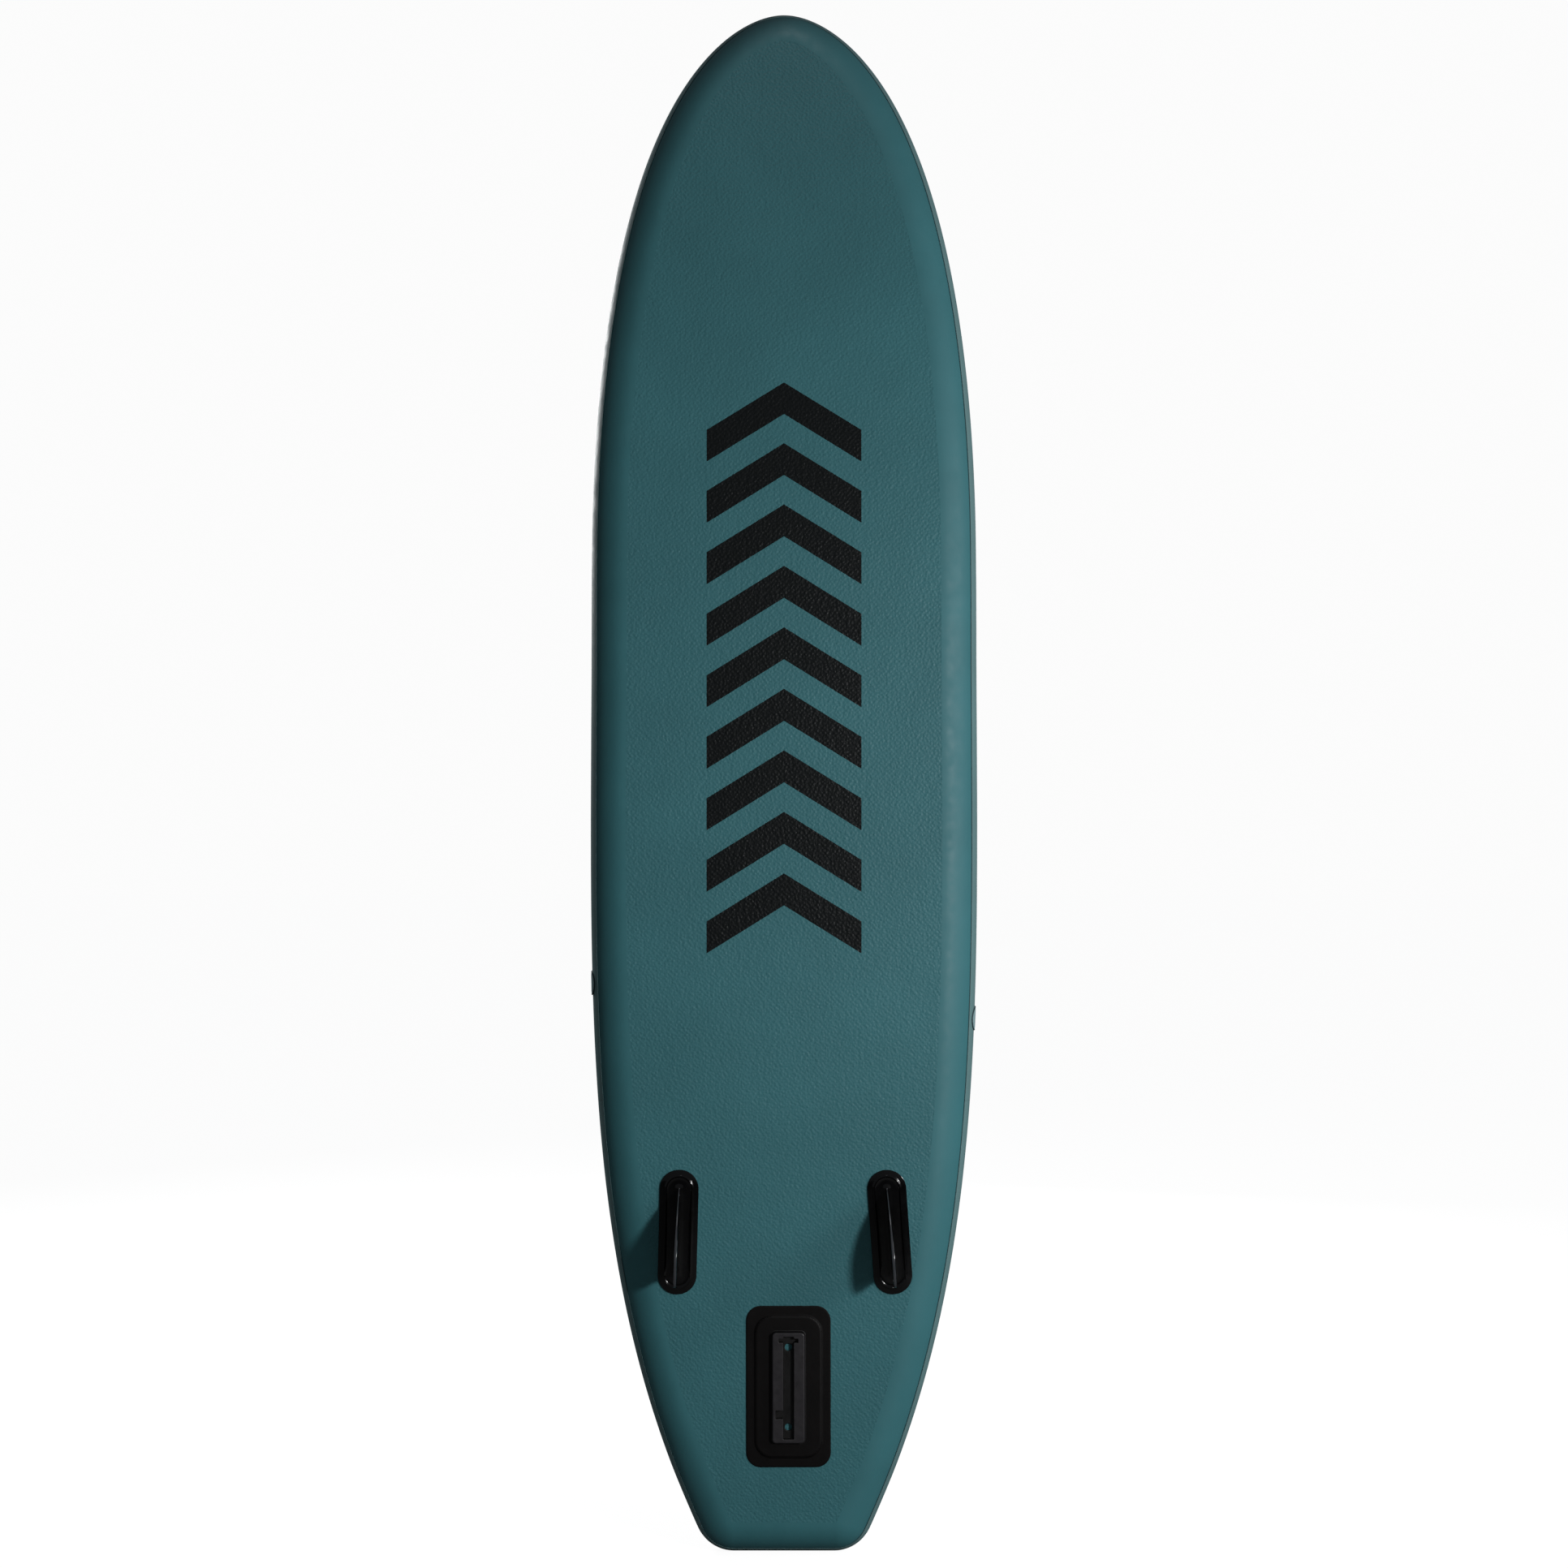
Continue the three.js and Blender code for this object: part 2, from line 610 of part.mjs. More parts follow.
// Moulded base of a rail ring: a pad with round ends, bent round the rail, with a flat land under the loop.
function railBase() {
  const { halfWidth, hullReach, deckReach, top, tail } = RAIL_RING;
  const surface = RAIL_RADIUS + 2 * GAP + SHEET;
  const length = hullReach + deckReach;
  const pad = reshape(new THREE.BoxGeometry(2, 1, length, 1, 1, 28), (corner) => {
    // rows of corners gather toward the round ends
    const fromMiddle = (Math.sin((Math.PI * corner.z) / length) * length) / 2;
    const along = fromMiddle + (deckReach - hullReach) / 2;
    const intoEnd = Math.max(0, Math.abs(fromMiddle) - length / 2 + halfWidth);
    const side = Math.max(1, Math.sqrt(halfWidth ** 2 - intoEnd ** 2));
    const isTop = corner.y > 0;
    const angle = along / surface;
    const radius = surface + (isTop ? top - GAP : 0);
    const height = GAP - surface + radius * Math.cos(angle);
    corner.set(corner.x * side, isTop && Math.abs(along) <= tail ? top : height, radius * Math.sin(angle));
  });
  return { geometry: pad, top, tail, look: 'railPvc' };
}

// Local frame on the rail, its X along the rail and its Z toward the deck.
function onRail(z, sign) {
  const edge = edgeAt(z);
  const angle = RAIL_RING.angle;
  const side = new THREE.Vector3(sign * edge.outX, 0, edge.outZ);
  const up = new THREE.Vector3(0, 1, 0);
  const out = side.clone().multiplyScalar(Math.cos(angle)).addScaledVector(up, Math.sin(angle));
  const inward = side.clone().multiplyScalar(-Math.sin(angle)).addScaledVector(up, Math.cos(angle));
  const along = new THREE.Vector3().crossVectors(out, inward);
  const radius = RAIL_RADIUS + GAP + SHEET;
  const place = new THREE.Matrix4().makeBasis(along, out, inward);
  return place.setPosition(
    sign * edge.x + out.x * radius,
    RAIL_RADIUS + rocker(z) + out.y * radius,
    z + out.z * radius,
  );
}

// In the order the cord is threaded; it leaves the rings marked high on their upper side.
const BUNGEE_CORNERS = [
  { name: 'front_left', x: -BUNGEE.xFront, z: BUNGEE.zFront, leavesHigh: true },
  { name: 'rear_right', x: BUNGEE.xRear, z: BUNGEE.zRear, leavesHigh: false },
  { name: 'front_right', x: BUNGEE.xFront, z: BUNGEE.zFront, leavesHigh: false },
  { name: 'rear_left', x: -BUNGEE.xRear, z: BUNGEE.zRear, leavesHigh: true },
].map((corner) => {
  const centreZ = (BUNGEE.zFront + BUNGEE.zRear) / 2;
  const turn = Math.atan2(-corner.x, centreZ - corner.z);
  return { ...corner, matrix: onDeck(corner.x, corner.z, turn) };
});

// Shock cord threaded through the four bungee rings: two diagonals, one above the other, and two sides.
function bungeeCord() {
  const tilt = THREE.MathUtils.degToRad(BUNGEE.tilt);
  const reach = RING.rod + BUNGEE.cord + 1.2;
  const barY = SHEET + 2 * GAP + BAR_HEIGHT;
  const [ringY, ringZ] = [barY + RING.height * Math.sin(tilt), RING.height * Math.cos(tilt)];
  const corners = BUNGEE_CORNERS.flatMap(({ matrix, leavesHigh }) => {
    // round the ring's far end from above to below, through its opening
    const bend = [67.5, 112.5, 157.5, 202.5, 247.5, 292.5].map((degrees) => {
      const angle = THREE.MathUtils.degToRad(degrees);
      const [y, z] = [ringY + reach * Math.sin(angle), ringZ + reach * Math.cos(angle)];
      return new THREE.Vector3(0, y, z).applyMatrix4(matrix);
    });
    return leavesHigh ? bend.reverse() : bend;
  });
  return closedRod(corners, BUNGEE.cord, 7);
}

function addDeckHardware() {
  for (const { name, matrix } of BUNGEE_CORNERS) {
    addRingSet(`bungee_${name}`, matrix, fabricDisc(34), BUNGEE.tilt);
  }
  addPiece('bungee_cord', bungeeCord(), 'cord');
  addRingSet('tow', onDeck(0, TOW_Z, 0), fabricDisc(40));
  addRingSet('leash', onDeck(0, LEASH_Z, Math.PI), fabricDisc(38));
  addRingSet('rail_left', onRail(RAIL_RING.left, -1), railBase());
  addRingSet('rail_right', onRail(RAIL_RING.right, 1), railBase());
}

// ---------- carry handle ----------

function addHandle() {
  const { z, span, rise, width, thickness, gripLength, gripRadius } = HANDLE;
  const { tabWidth, tabLength, tabThickness } = HANDLE;
  const deck = DECK + 2 * GAP + SHEET;
  const [outer, flat] = [span / 2, gripLength / 2 + 4];
  const side = [...Array(25).keys()].map((i) => {
    const along = THREE.MathUtils.lerp(-outer, outer, i / 24);
    const height = rise * THREE.MathUtils.smoothstep(outer - Math.abs(along), 0, outer - flat);
    return new THREE.Vector2(along, 1 + thickness / 2 + height);
  });
  const strap = ribbon(side, thickness, width).rotateY(-Math.PI / 2).translate(0, deck, z);
  const gripHeight = 1 + thickness / 2 + rise;
  const slotted = new THREE.BoxGeometry(width + 2 * GAP, thickness + 2 * GAP, gripLength + 20)
    .translate(0, gripHeight, 0);
  const sleeve = turned([
    [0, -gripLength / 2], [gripRadius - 3, -gripLength / 2], [gripRadius, -gripLength / 2 + 6],
    [gripRadius, gripLength / 2 - 6], [gripRadius - 3, gripLength / 2], [0, gripLength / 2],
  ], 16).rotateX(Math.PI / 2).scale(1.6, 1, 1).translate(0, gripHeight, 0);
  addPiece('handle_strap', strap, 'webbing');
  addPiece('handle_grip', toGeometry(cut(sleeve, slotted)).translate(0, deck, z), 'neoprene');
  for (const [end, sign] of [['rear', -1], ['front', 1]]) {
    const centre = z + sign * (outer + tabLength / 2 + 1);
    const tab = plate(roundedRectangle(tabWidth, tabLength, 10), DECK + GAP, DECK + GAP + tabThickness, 5);
    addPiece(`handle_tab_${end}`, tab.translate(0, 0, centre), 'deckPvc');
  }
}

// ---------- inflation valve ----------

const atValve = (shape) => toGeometry(shape).translate(VALVE.x, DECK, VALVE.z);

// Flanged tube with a sealing lip below and a three-armed guide for the stem.
function valveBody() {
  const { bore, tube, flange, depth } = VALVE;
  const lip = bore - 5;
  const shell = turned([
    [lip, -depth], [tube, -depth], [tube, 1.6], [flange, 1.6], [flange, 5], [flange - 3, 7],
    [bore, 7], [bore, -depth + 3], [lip, -depth + 3], [lip, -depth],
  ], 32);
  const hub = turned(ringProfile(3.4, 6, -31, -26), 16);
  const arms = [0, 1, 2].map((i) => (
    new THREE.BoxGeometry(bore - 4, 4, 3)
      .translate((bore + 6) / 2, -28.5, 0)
      .rotateY((i * 2 * Math.PI) / 3)
  ));
  return union(shell, hub, ...arms);
}

function valveSpring() {
  const [turns, low, high, radius, wire, perTurn] = [4, -25.1, -9.6, 4.9, 0.6, 10];
  class Helix extends THREE.Curve {
    getPoint(t, target = new THREE.Vector3()) {
      const angle = t * turns * 2 * Math.PI;
      return target.set(radius * Math.cos(angle), low + (high - low) * t, radius * Math.sin(angle));
    }
  }
  const section = new THREE.Shape();
  section.absarc(0, 0, wire, 0, Math.PI * 2);
  return new THREE.ExtrudeGeometry(section, {
    steps: turns * perTurn, extrudePath: new Helix(), curveSegments: 3, bevelEnabled: false,
  });
}

function valveTether() {
  const { flange } = VALVE;
  const collar = turned(ringProfile(flange + 0.5, flange + 2.5, 2, 5), 28);
  const loop = turned(ringProfile(8.5, 11, 15, 17), 20);
  const path = new THREE.SplineCurve([
    new THREE.Vector2(10, 16), new THREE.Vector2(30, 17), new THREE.Vector2(43, 12), new THREE.Vector2(35.5, 4),
  ]);
  const band = ribbon(path.getPoints(10), 1.6, 6);
  return union(collar, loop, band);
}

function addValve() {
  const { tube, bore, depth, cap } = VALVE;
  const cloth = -(2 * SHEET + CLOTH + GAP);
  addPiece('valve_body', atValve(valveBody()), 'valvePlastic');
  addPiece('valve_gasket', atValve(turned(ringProfile(tube + 1.2, 33, GAP, 1.3), 28)), 'rubber');
  const nut = turned([
    [tube + GAP, cloth - 8], [32, cloth - 8], [32, cloth - 3], [35, cloth - 3], [35, cloth],
    [tube + GAP, cloth], [tube + GAP, cloth - 8],
  ], 32);
  addPiece('valve_nut', atValve(nut), 'valvePlastic');
  const stem = turned([
    [0, -depth - 8], [7, -depth - 8], [7, -depth - 5.2], [2.8, -depth - 5.2], [2.8, -8.7],
    [8.5, -8.7], [8.5, -5], [7, -3.5], [0, -3.5],
  ], 20);
  addPiece('valve_stem', atValve(stem), 'valvePlastic');
  const seal = turned([
    [3.2, -depth - 4.8], [bore - 3, -depth - 4.8], [bore - 1, -depth - 0.4], [3.2, -depth - 0.4],
    [3.2, -depth - 4.8],
  ], 28);
  addPiece('valve_seal', atValve(seal), 'rubber');
  addPiece('valve_spring', atValve(valveSpring()), 'steel');
  const lid = turned([
    [0, 1], [bore - 2.2, 1], [bore - 2.2, 3], [bore - 3.4, 3], [bore - 3.4, 5.2], [bore - 2.2, 5.2],
    [bore - 2.2, 7.4], [cap, 7.4], [cap, 11.5], [cap - 2, 13.5], [8, 13.5], [8, 19], [6, 20], [0, 20],
  ], 32);
  addPiece('valve_cap', atValve(lid), 'valvePlastic');
  const sealRing = turned(ringProfile(bore - 3.1, bore - 0.4, 3.3, 4.9), 24);
  addPiece('valve_cap_seal', atValve(sealRing), 'rubber');
  addPiece('valve_tether', atValve(valveTether()), 'rubber');
}

addHull();
addFins();
addPads();
addDeckHardware();
addHandle();
addValve();

export default board;
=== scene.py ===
import json
import math

import bmesh
import bpy
import numpy as np
from mathutils import Matrix, Vector
from mathutils.geometry import tessellate_polygon


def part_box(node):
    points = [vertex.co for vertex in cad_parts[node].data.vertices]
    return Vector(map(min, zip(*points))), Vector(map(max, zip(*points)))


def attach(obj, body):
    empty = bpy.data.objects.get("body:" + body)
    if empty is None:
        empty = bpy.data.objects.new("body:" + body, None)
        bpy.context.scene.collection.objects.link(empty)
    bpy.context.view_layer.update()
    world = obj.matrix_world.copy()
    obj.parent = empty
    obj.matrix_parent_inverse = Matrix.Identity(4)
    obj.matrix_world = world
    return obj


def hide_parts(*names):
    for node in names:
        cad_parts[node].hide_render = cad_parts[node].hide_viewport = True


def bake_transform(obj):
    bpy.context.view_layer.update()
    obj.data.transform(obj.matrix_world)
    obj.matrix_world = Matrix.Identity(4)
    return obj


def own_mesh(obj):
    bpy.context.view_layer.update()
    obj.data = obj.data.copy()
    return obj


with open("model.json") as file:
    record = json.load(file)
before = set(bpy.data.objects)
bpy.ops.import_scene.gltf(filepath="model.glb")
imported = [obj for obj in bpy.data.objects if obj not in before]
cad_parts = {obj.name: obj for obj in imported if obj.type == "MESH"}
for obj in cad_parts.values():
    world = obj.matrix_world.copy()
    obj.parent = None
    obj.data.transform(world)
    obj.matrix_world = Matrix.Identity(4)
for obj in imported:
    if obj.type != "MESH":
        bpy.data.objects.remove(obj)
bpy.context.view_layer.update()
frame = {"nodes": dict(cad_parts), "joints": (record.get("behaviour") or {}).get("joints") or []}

MM = 0.001
SHEET = 1.2 * MM  # coated fabric of skins and rails
GAP = 0.3  # room between neighbouring pieces, in millimetres
TAU = 2 * math.pi
UP = Vector((0, 1, 0))  # away from the flat deck
NOSEWARD = Vector((0, 0, 1))
scene = bpy.context.scene


# ---------- places read from the frame ----------

def low(node):
    return Vector(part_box(node)[0])


def high(node):
    return Vector(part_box(node)[1])


def centre(node):
    return (low(node) + high(node)) / 2


def corners(node):
    """All corners of a CAD node as an array, in metres."""
    return np.array([v.co for v in frame["nodes"][node].data.vertices])


LENGTH = high("rail_band").z
HULL_LEVEL = low("hull_skin").y
DECK = low("deck_skin").y + SHEET
RAIL_RADIUS = (DECK - HULL_LEVEL) / 2
WIDEST_LEVEL = (DECK + HULL_LEVEL) / 2  # the rail's widest line


def fit_rocker():
    """The nose lift as a parabola through the underside of the hull skin: (start, lift per metre squared)."""
    points = corners("hull_skin")
    lifted = points[points[:, 1] > HULL_LEVEL + 10 * MM]
    lowest = {}
    for _, y, z in lifted:
        key = round(z, 5)
        lowest[key] = min(lowest.get(key, y), y)
    z = np.array(list(lowest))
    y = np.array(list(lowest.values()))
    a, b, _ = np.polyfit(z, y, 2)
    return -b / (2 * a), a


ROCKER_START, ROCKER_RISE = fit_rocker()


def rocker(z):
    return ROCKER_RISE * np.maximum(0, z - ROCKER_START) ** 2


def catmull_rom(points, steps):
    """A smooth open curve through points, with the given number of steps in each span."""
    points = [Vector(p) for p in points]
    before = points[0] * 2 - points[1]
    after = points[-1] * 2 - points[-2]
    line = [before, *points, after]
    curve = []
    for i in range(1, len(line) - 2):
        p = line[i - 1:i + 3]
        t = [0.0]
        for j in range(3):
            t.append(t[-1] + max((p[j + 1] - p[j]).length, 1e-9) ** 0.5)
        for step in range(steps):
            s = t[1] + (t[2] - t[1]) * step / steps
            a = [p[j] + (p[j + 1] - p[j]) * ((s - t[j]) / (t[j + 1] - t[j])) for j in range(3)]
            b = [a[j] + (a[j + 1] - a[j]) * ((s - t[j]) / (t[j + 2] - t[j])) for j in range(2)]
            curve.append(b[0] + (b[1] - b[0]) * ((s - t[1]) / (t[2] - t[1])))
    curve.append(points[-1])
    return curve


def panel_edge():
    """Right-hand edge of the flat panel from tail to nose: dense (x, z) points and outward directions."""
    seen = {(round(x, 5), round(z, 5)) for x, _, z in corners("hull_skin")}
    tip = max(z for _, z in seen)
    right = sorted((z, x) for x, z in seen if x > 0)
    line = [Vector((x, z)) for z, x in right]
    nose = Vector((0, tip))
    mirrored = Vector((-line[-1].x, line[-1].y))
    curve = catmull_rom([*line, nose, mirrored], 6)[:-6]
    out = []
    for i in range(len(curve)):
        way = curve[min(i + 1, len(curve) - 1)] - curve[max(i - 1, 0)]
        out.append(Vector((way.y, -way.x)).normalized())
    out[0] = Vector((0, -1))
    out[-1] = Vector((0, 1))
    return curve, out


EDGE, EDGE_OUT = panel_edge()


def edge_x(z):
    """Half width of the flat panel at a height."""
    return float(np.interp(z, [p.y for p in EDGE], [p.x for p in EDGE]))


def local_frame(origin, out, forward):
    """Matrix from local millimetres: Y away from the board, Z forward, X across."""
    side = out.cross(forward).normalized()
    forward = side.cross(out).normalized()
    turn = Matrix((side, out.normalized(), forward)).transposed().to_4x4()
    return Matrix.Translation(origin) @ turn @ Matrix.Scale(MM, 4)


BOARD_FRAME = Matrix.Scale(MM, 4)


# ---------- materials ----------

class Look:
    """A procedural material: one principled shader, and short helpers that add nodes in front of it."""

    def __init__(self, name, roughness=0.5, metallic=0.0, specular=0.5):
        self.material = bpy.data.materials.new(name)
        self.material.use_nodes = True
        self.nodes = self.material.node_tree.nodes
        self.links = self.material.node_tree.links
        self.shader = self.nodes["Principled BSDF"]
        self.shader.inputs["Roughness"].default_value = roughness
        self.shader.inputs["Metallic"].default_value = metallic
        self.shader.inputs["Specular IOR Level"].default_value = specular
        coordinates = self.add("ShaderNodeTexCoord")
        self.place = coordinates.outputs["Object"]
        self.cloth = coordinates.outputs["UV"]

    def add(self, kind, inputs=None, **settings):
        node = self.nodes.new(kind)
        for key, value in settings.items():
            setattr(node, key, value)
        for key, value in (inputs or {}).items():
            self.feed(node.inputs[key], value)
        return node

    def feed(self, socket, value):
        if isinstance(value, bpy.types.NodeSocket):
            self.links.new(value, socket)
        else:
            socket.default_value = value

    def set(self, name, value):
        self.feed(self.shader.inputs[name], value)

    def math(self, operation, *values):
        inputs = dict(enumerate(values))
        return self.add("ShaderNodeMath", inputs, operation=operation).outputs[0]

    def plus(self, first, second):
        return self.math("ADD", first, second)

    def minus(self, first, second):
        return self.math("SUBTRACT", first, second)

    def times(self, first, second):
        return self.math("MULTIPLY", first, second)

    def noise(self, scale, detail=2.0, place=None):
        inputs = {"Vector": place or self.place, "Scale": scale, "Detail": detail}
        return self.add("ShaderNodeTexNoise", inputs).outputs["Fac"]

    def stretched(self, x, y, z):
        """Object coordinates multiplied by a factor along each axis."""
        inputs = {0: self.place, 1: (x, y, z)}
        return self.add("ShaderNodeVectorMath", inputs, operation="MULTIPLY").outputs[0]

    def axes(self, place=None):
        split = self.add("ShaderNodeSeparateXYZ", {0: place or self.place})
        return split.outputs[0], split.outputs[1], split.outputs[2]

    def span(self, value, from_low, from_high, to_low=0.0, to_high=1.0):
        inputs = {0: value, 1: from_low, 2: from_high, 3: to_low, 4: to_high}
        return self.add("ShaderNodeMapRange", inputs).outputs[0]

    def blend(self, share, first, second):
        """Colour mix; first and second are colours or sockets."""
        mix = self.add("ShaderNodeMix", data_type="RGBA")
        self.feed(mix.inputs[0], share)
        self.feed(mix.inputs[6], first)
        self.feed(mix.inputs[7], second)
        return mix.outputs[2]

    def wave(self, value, pitch):
        """A sine along a coordinate, one cycle in each pitch."""
        return self.math("SINE", self.times(value, TAU / pitch))

    def bump(self, *layers):
        """Stack bump layers, each (height socket, depth in metres)."""
        normal = None
        for height, depth in layers:
            inputs = {"Height": height, "Distance": depth, "Strength": 1.0}
            node = self.add("ShaderNodeBump", inputs)
            if normal is not None:
                self.links.new(normal, node.inputs["Normal"])
            normal = node.outputs["Normal"]
        self.links.new(normal, self.shader.inputs["Normal"])


def srgb(red, green, blue):
    """A colour from 0-255 sRGB values, in linear light."""
    def linear(value):
        share = value / 255
        return share / 12.92 if share <= 0.04045 else ((share + 0.055) / 1.055) ** 2.4
    return (linear(red), linear(green), linear(blue), 1.0)


def tinted(look, colour, spread, scale, detail):
    """The colour with soft patches that are darker and lighter by a share."""
    dark = tuple(c * (1 - spread) for c in colour[:3]) + (1.0,)
    light = tuple(c * (1 + spread) for c in colour[:3]) + (1.0,)
    patches = look.span(look.noise(scale, detail), 0.3, 0.7)
    return look.blend(patches, dark, light)


BAND_ANGLE = 34  # degrees either side of the rail's widest line
BAND_GIRTH = math.radians(BAND_ANGLE) * RAIL_RADIUS / MM
HULL_TEAL = srgb(60, 115, 122)
RAIL_TEAL = srgb(62, 118, 125)
TAPE_TEAL = srgb(106, 140, 142)
MOULDING_TEAL = srgb(140, 170, 174)
# colour of painted shade along the tape's edge and round the rim of the rail pads
PAINTED_SHADE_DARK = srgb(18, 44, 50)
DECK_TEAL = srgb(72, 126, 132)
PRINT_BLACK = srgb(14, 18, 19)
BEAD_PITCH = 10.4 * MM
BEAD_DEPTH = 0.3 * MM
CHEVRONS = {"first": 1.33, "pitch": 0.125, "count": 9, "stroke": 0.52, "reach": 0.158, "slope": 0.62}


def pebble(look):
    """Height of the drop-stitch surface: small beads in staggered columns, never quite regular."""
    x, _, z = look.axes()
    staggered = look.add("ShaderNodeCombineXYZ", {0: look.plus(x, z), 1: look.minus(x, z)})
    inputs = {"Vector": staggered.outputs[0], "Scale": 1 / BEAD_PITCH, "Randomness": 0.55}
    cells = look.add("ShaderNodeTexVoronoi", inputs, voronoi_dimensions="2D")
    beads = look.span(cells.outputs["Distance"], 0.1, 0.5, 1.0, 0.0)
    uneven = look.span(look.noise(150, 3), 0.3, 0.7, -0.8, 0.8)
    return look.plus(uneven, beads)


def chevrons(look):
    """Mask of the plain printed chevrons on the hull: 1 in the print, 0 outside."""
    x, _, z = look.axes()
    ragged = look.times(look.noise(400, 1), 1.2 * MM)
    side = look.math("ABSOLUTE", x)
    raised = look.plus(look.plus(z, look.times(side, CHEVRONS["slope"])), ragged)
    phase = look.math("DIVIDE", look.minus(raised, CHEVRONS["first"]), CHEVRONS["pitch"])
    in_stroke = look.math("LESS_THAN", look.math("FRACT", phase), CHEVRONS["stroke"])
    above = look.math("GREATER_THAN", phase, 0.0)
    below = look.math("LESS_THAN", phase, float(CHEVRONS["count"]))
    within = look.math("LESS_THAN", look.plus(side, ragged), CHEVRONS["reach"])
    in_print = look.times(in_stroke, within)
    return look.times(in_print, look.times(above, below))


def hull_look():
    look = Look("hull_pvc", roughness=0.5)
    mask = chevrons(look)
    grain = look.span(look.noise(700, 2), 0.35, 0.65, 0.93, 1.07)
    plain = tinted(look, HULL_TEAL, 0.06, 5.0, 4.0)
    grained = look.add("ShaderNodeVectorMath", {0: plain}, operation="SCALE")
    look.feed(grained.inputs["Scale"], grain)
    look.set("Base Color", look.blend(mask, grained.outputs[0], PRINT_BLACK))
    look.set("Roughness", look.span(mask, 0, 1, 0.5, 0.42))
    look.set("Specular IOR Level", look.span(mask, 0, 1, 0.32, 0.2))
    look.bump((pebble(look), BEAD_DEPTH), (look.noise(9, 2), 1.5 * MM), (look.noise(1500, 1), 0.05 * MM))
    return look.material


def rail_look(name, colour, seam, tape_end=None):
    """Smooth PVC pulled round the edge: slow ripples, and a step where the end of the tape overlaps.

    The seam is a dark line of painted shade, as cast by a step: where it starts and ends in millimetres of
    cloth across, and how dark it is.
    """
    look = Look(name, specular=0.3)
    across, _, _ = look.axes(look.cloth)
    # painted shade: a dark line along the seam, where a step would cast shade
    low_side = look.math("GREATER_THAN", across, seam[0] * MM)
    painted_shade_line = look.times(low_side, look.math("LESS_THAN", across, seam[1] * MM))
    plain = tinted(look, colour, 0.05, 8.0, 3.0)
    look.set("Base Color", look.blend(look.times(painted_shade_line, seam[2]), plain, PAINTED_SHADE_DARK))
    ripple = look.noise(14, 2, look.stretched(1, 1, 0.35))
    look.set("Roughness", look.span(look.noise(40, 3), 0.3, 0.7, 0.46, 0.6))
    layers = [(ripple, 0.9 * MM), (look.noise(900, 2), 0.06 * MM)]
    if tape_end:
        _, _, z = look.axes()
        layers.append((look.span(z, tape_end - 1.5 * MM, tape_end + 1.5 * MM), 0.8 * MM))
    look.bump(*layers)
    return look.material


def deck_look():
    look = Look("deck_pvc", roughness=0.5)
    look.set("Base Color", tinted(look, DECK_TEAL, 0.06, 5.0, 4.0))
    look.bump((pebble(look), BEAD_DEPTH), (look.noise(9, 2), 1.5 * MM))
    return look.material


def patch_look():
    """Black reinforced fabric: a fine square weave under a matte coat."""
    look = Look("patch_pvc", roughness=0.55, specular=0.16)
    look.set("Base Color", tinted(look, srgb(8, 6, 6), 0.3, 30, 3))
    x, _, z = look.axes()
    weave = look.times(look.wave(x, 1.6 * MM), look.wave(z, 1.6 * MM))
    look.bump((weave, 0.05 * MM), (look.noise(25, 2), 0.8 * MM))
    return look.material


def moulded_look():
    """Black moulded plastic: its raised top faces a paler grey with patches, as painted sheen, and everything
    lower near black as painted shade, deep in the slot too.
    """
    look = Look("moulded_plastic", specular=0.4)
    _, y, _ = look.axes()
    # painted light: the top faces take the paler grey as sheen, the faces below take near black as shade
    raised = look.span(y, HULL_LEVEL - 13.2 * MM, HULL_LEVEL - 15 * MM)
    painted_sheen_grey = tinted(look, srgb(38, 36, 39), 0.2, 90, 3)
    look.set("Base Color", look.blend(raised, srgb(5, 4, 4), painted_sheen_grey))
    look.set("Roughness", look.span(look.noise(60, 3), 0.3, 0.7, 0.42, 0.6))
    look.bump((look.noise(1200, 2), 0.06 * MM), (look.noise(35, 2), 0.3 * MM))
    return look.material


def fin_look():
    """Glossy black plastic, with a painted highlight in grey where the cloth place across is 1, along the
    blade's edge.
    """
    look = Look("fin_plastic", roughness=0.16)
    # painted highlight: a grey line along the blade's edge
    painted_edge_highlight, _, _ = look.axes(look.cloth)
    look.set("Base Color", look.blend(painted_edge_highlight, tinted(look, srgb(5, 5, 6), 0.3, 30, 2), srgb(58, 60, 64)))
    look.set("Roughness", look.span(look.noise(50, 4), 0.3, 0.7, 0.07, 0.16))
    look.bump((look.noise(22, 2), 0.25 * MM), (look.noise(500, 2), 0.012 * MM))
    return look.material


def foam_look():
    """Brushed EVA foam with a diamond pattern of shallow grooves."""
    look = Look("pad_foam", roughness=0.85)
    x, _, z = look.axes()
    groove_pitch = 22 * MM
    left = look.wave(look.plus(z, look.times(x, 0.6)), groove_pitch)
    right = look.wave(look.minus(z, look.times(x, 0.6)), groove_pitch)
    deepest = look.math("MAXIMUM", left, right)
    # painted shade: the grooves are coloured a darker grey than the faces
    face = look.span(deepest, 0.9, 0.98, 1.0, 0.0)
    base = tinted(look, srgb(70, 78, 82), 0.1, 12, 3)
    look.set("Base Color", look.blend(face, srgb(36, 41, 43), base))
    look.bump((face, 1.2 * MM), (look.noise(1800, 2), 0.12 * MM))
    return look.material


def woven(look, across_pitch, along_pitch):
    """Height of a plain weave in cloth coordinates."""
    across, along, _ = look.axes(look.cloth)
    return look.times(look.wave(across, across_pitch), look.wave(along, along_pitch))


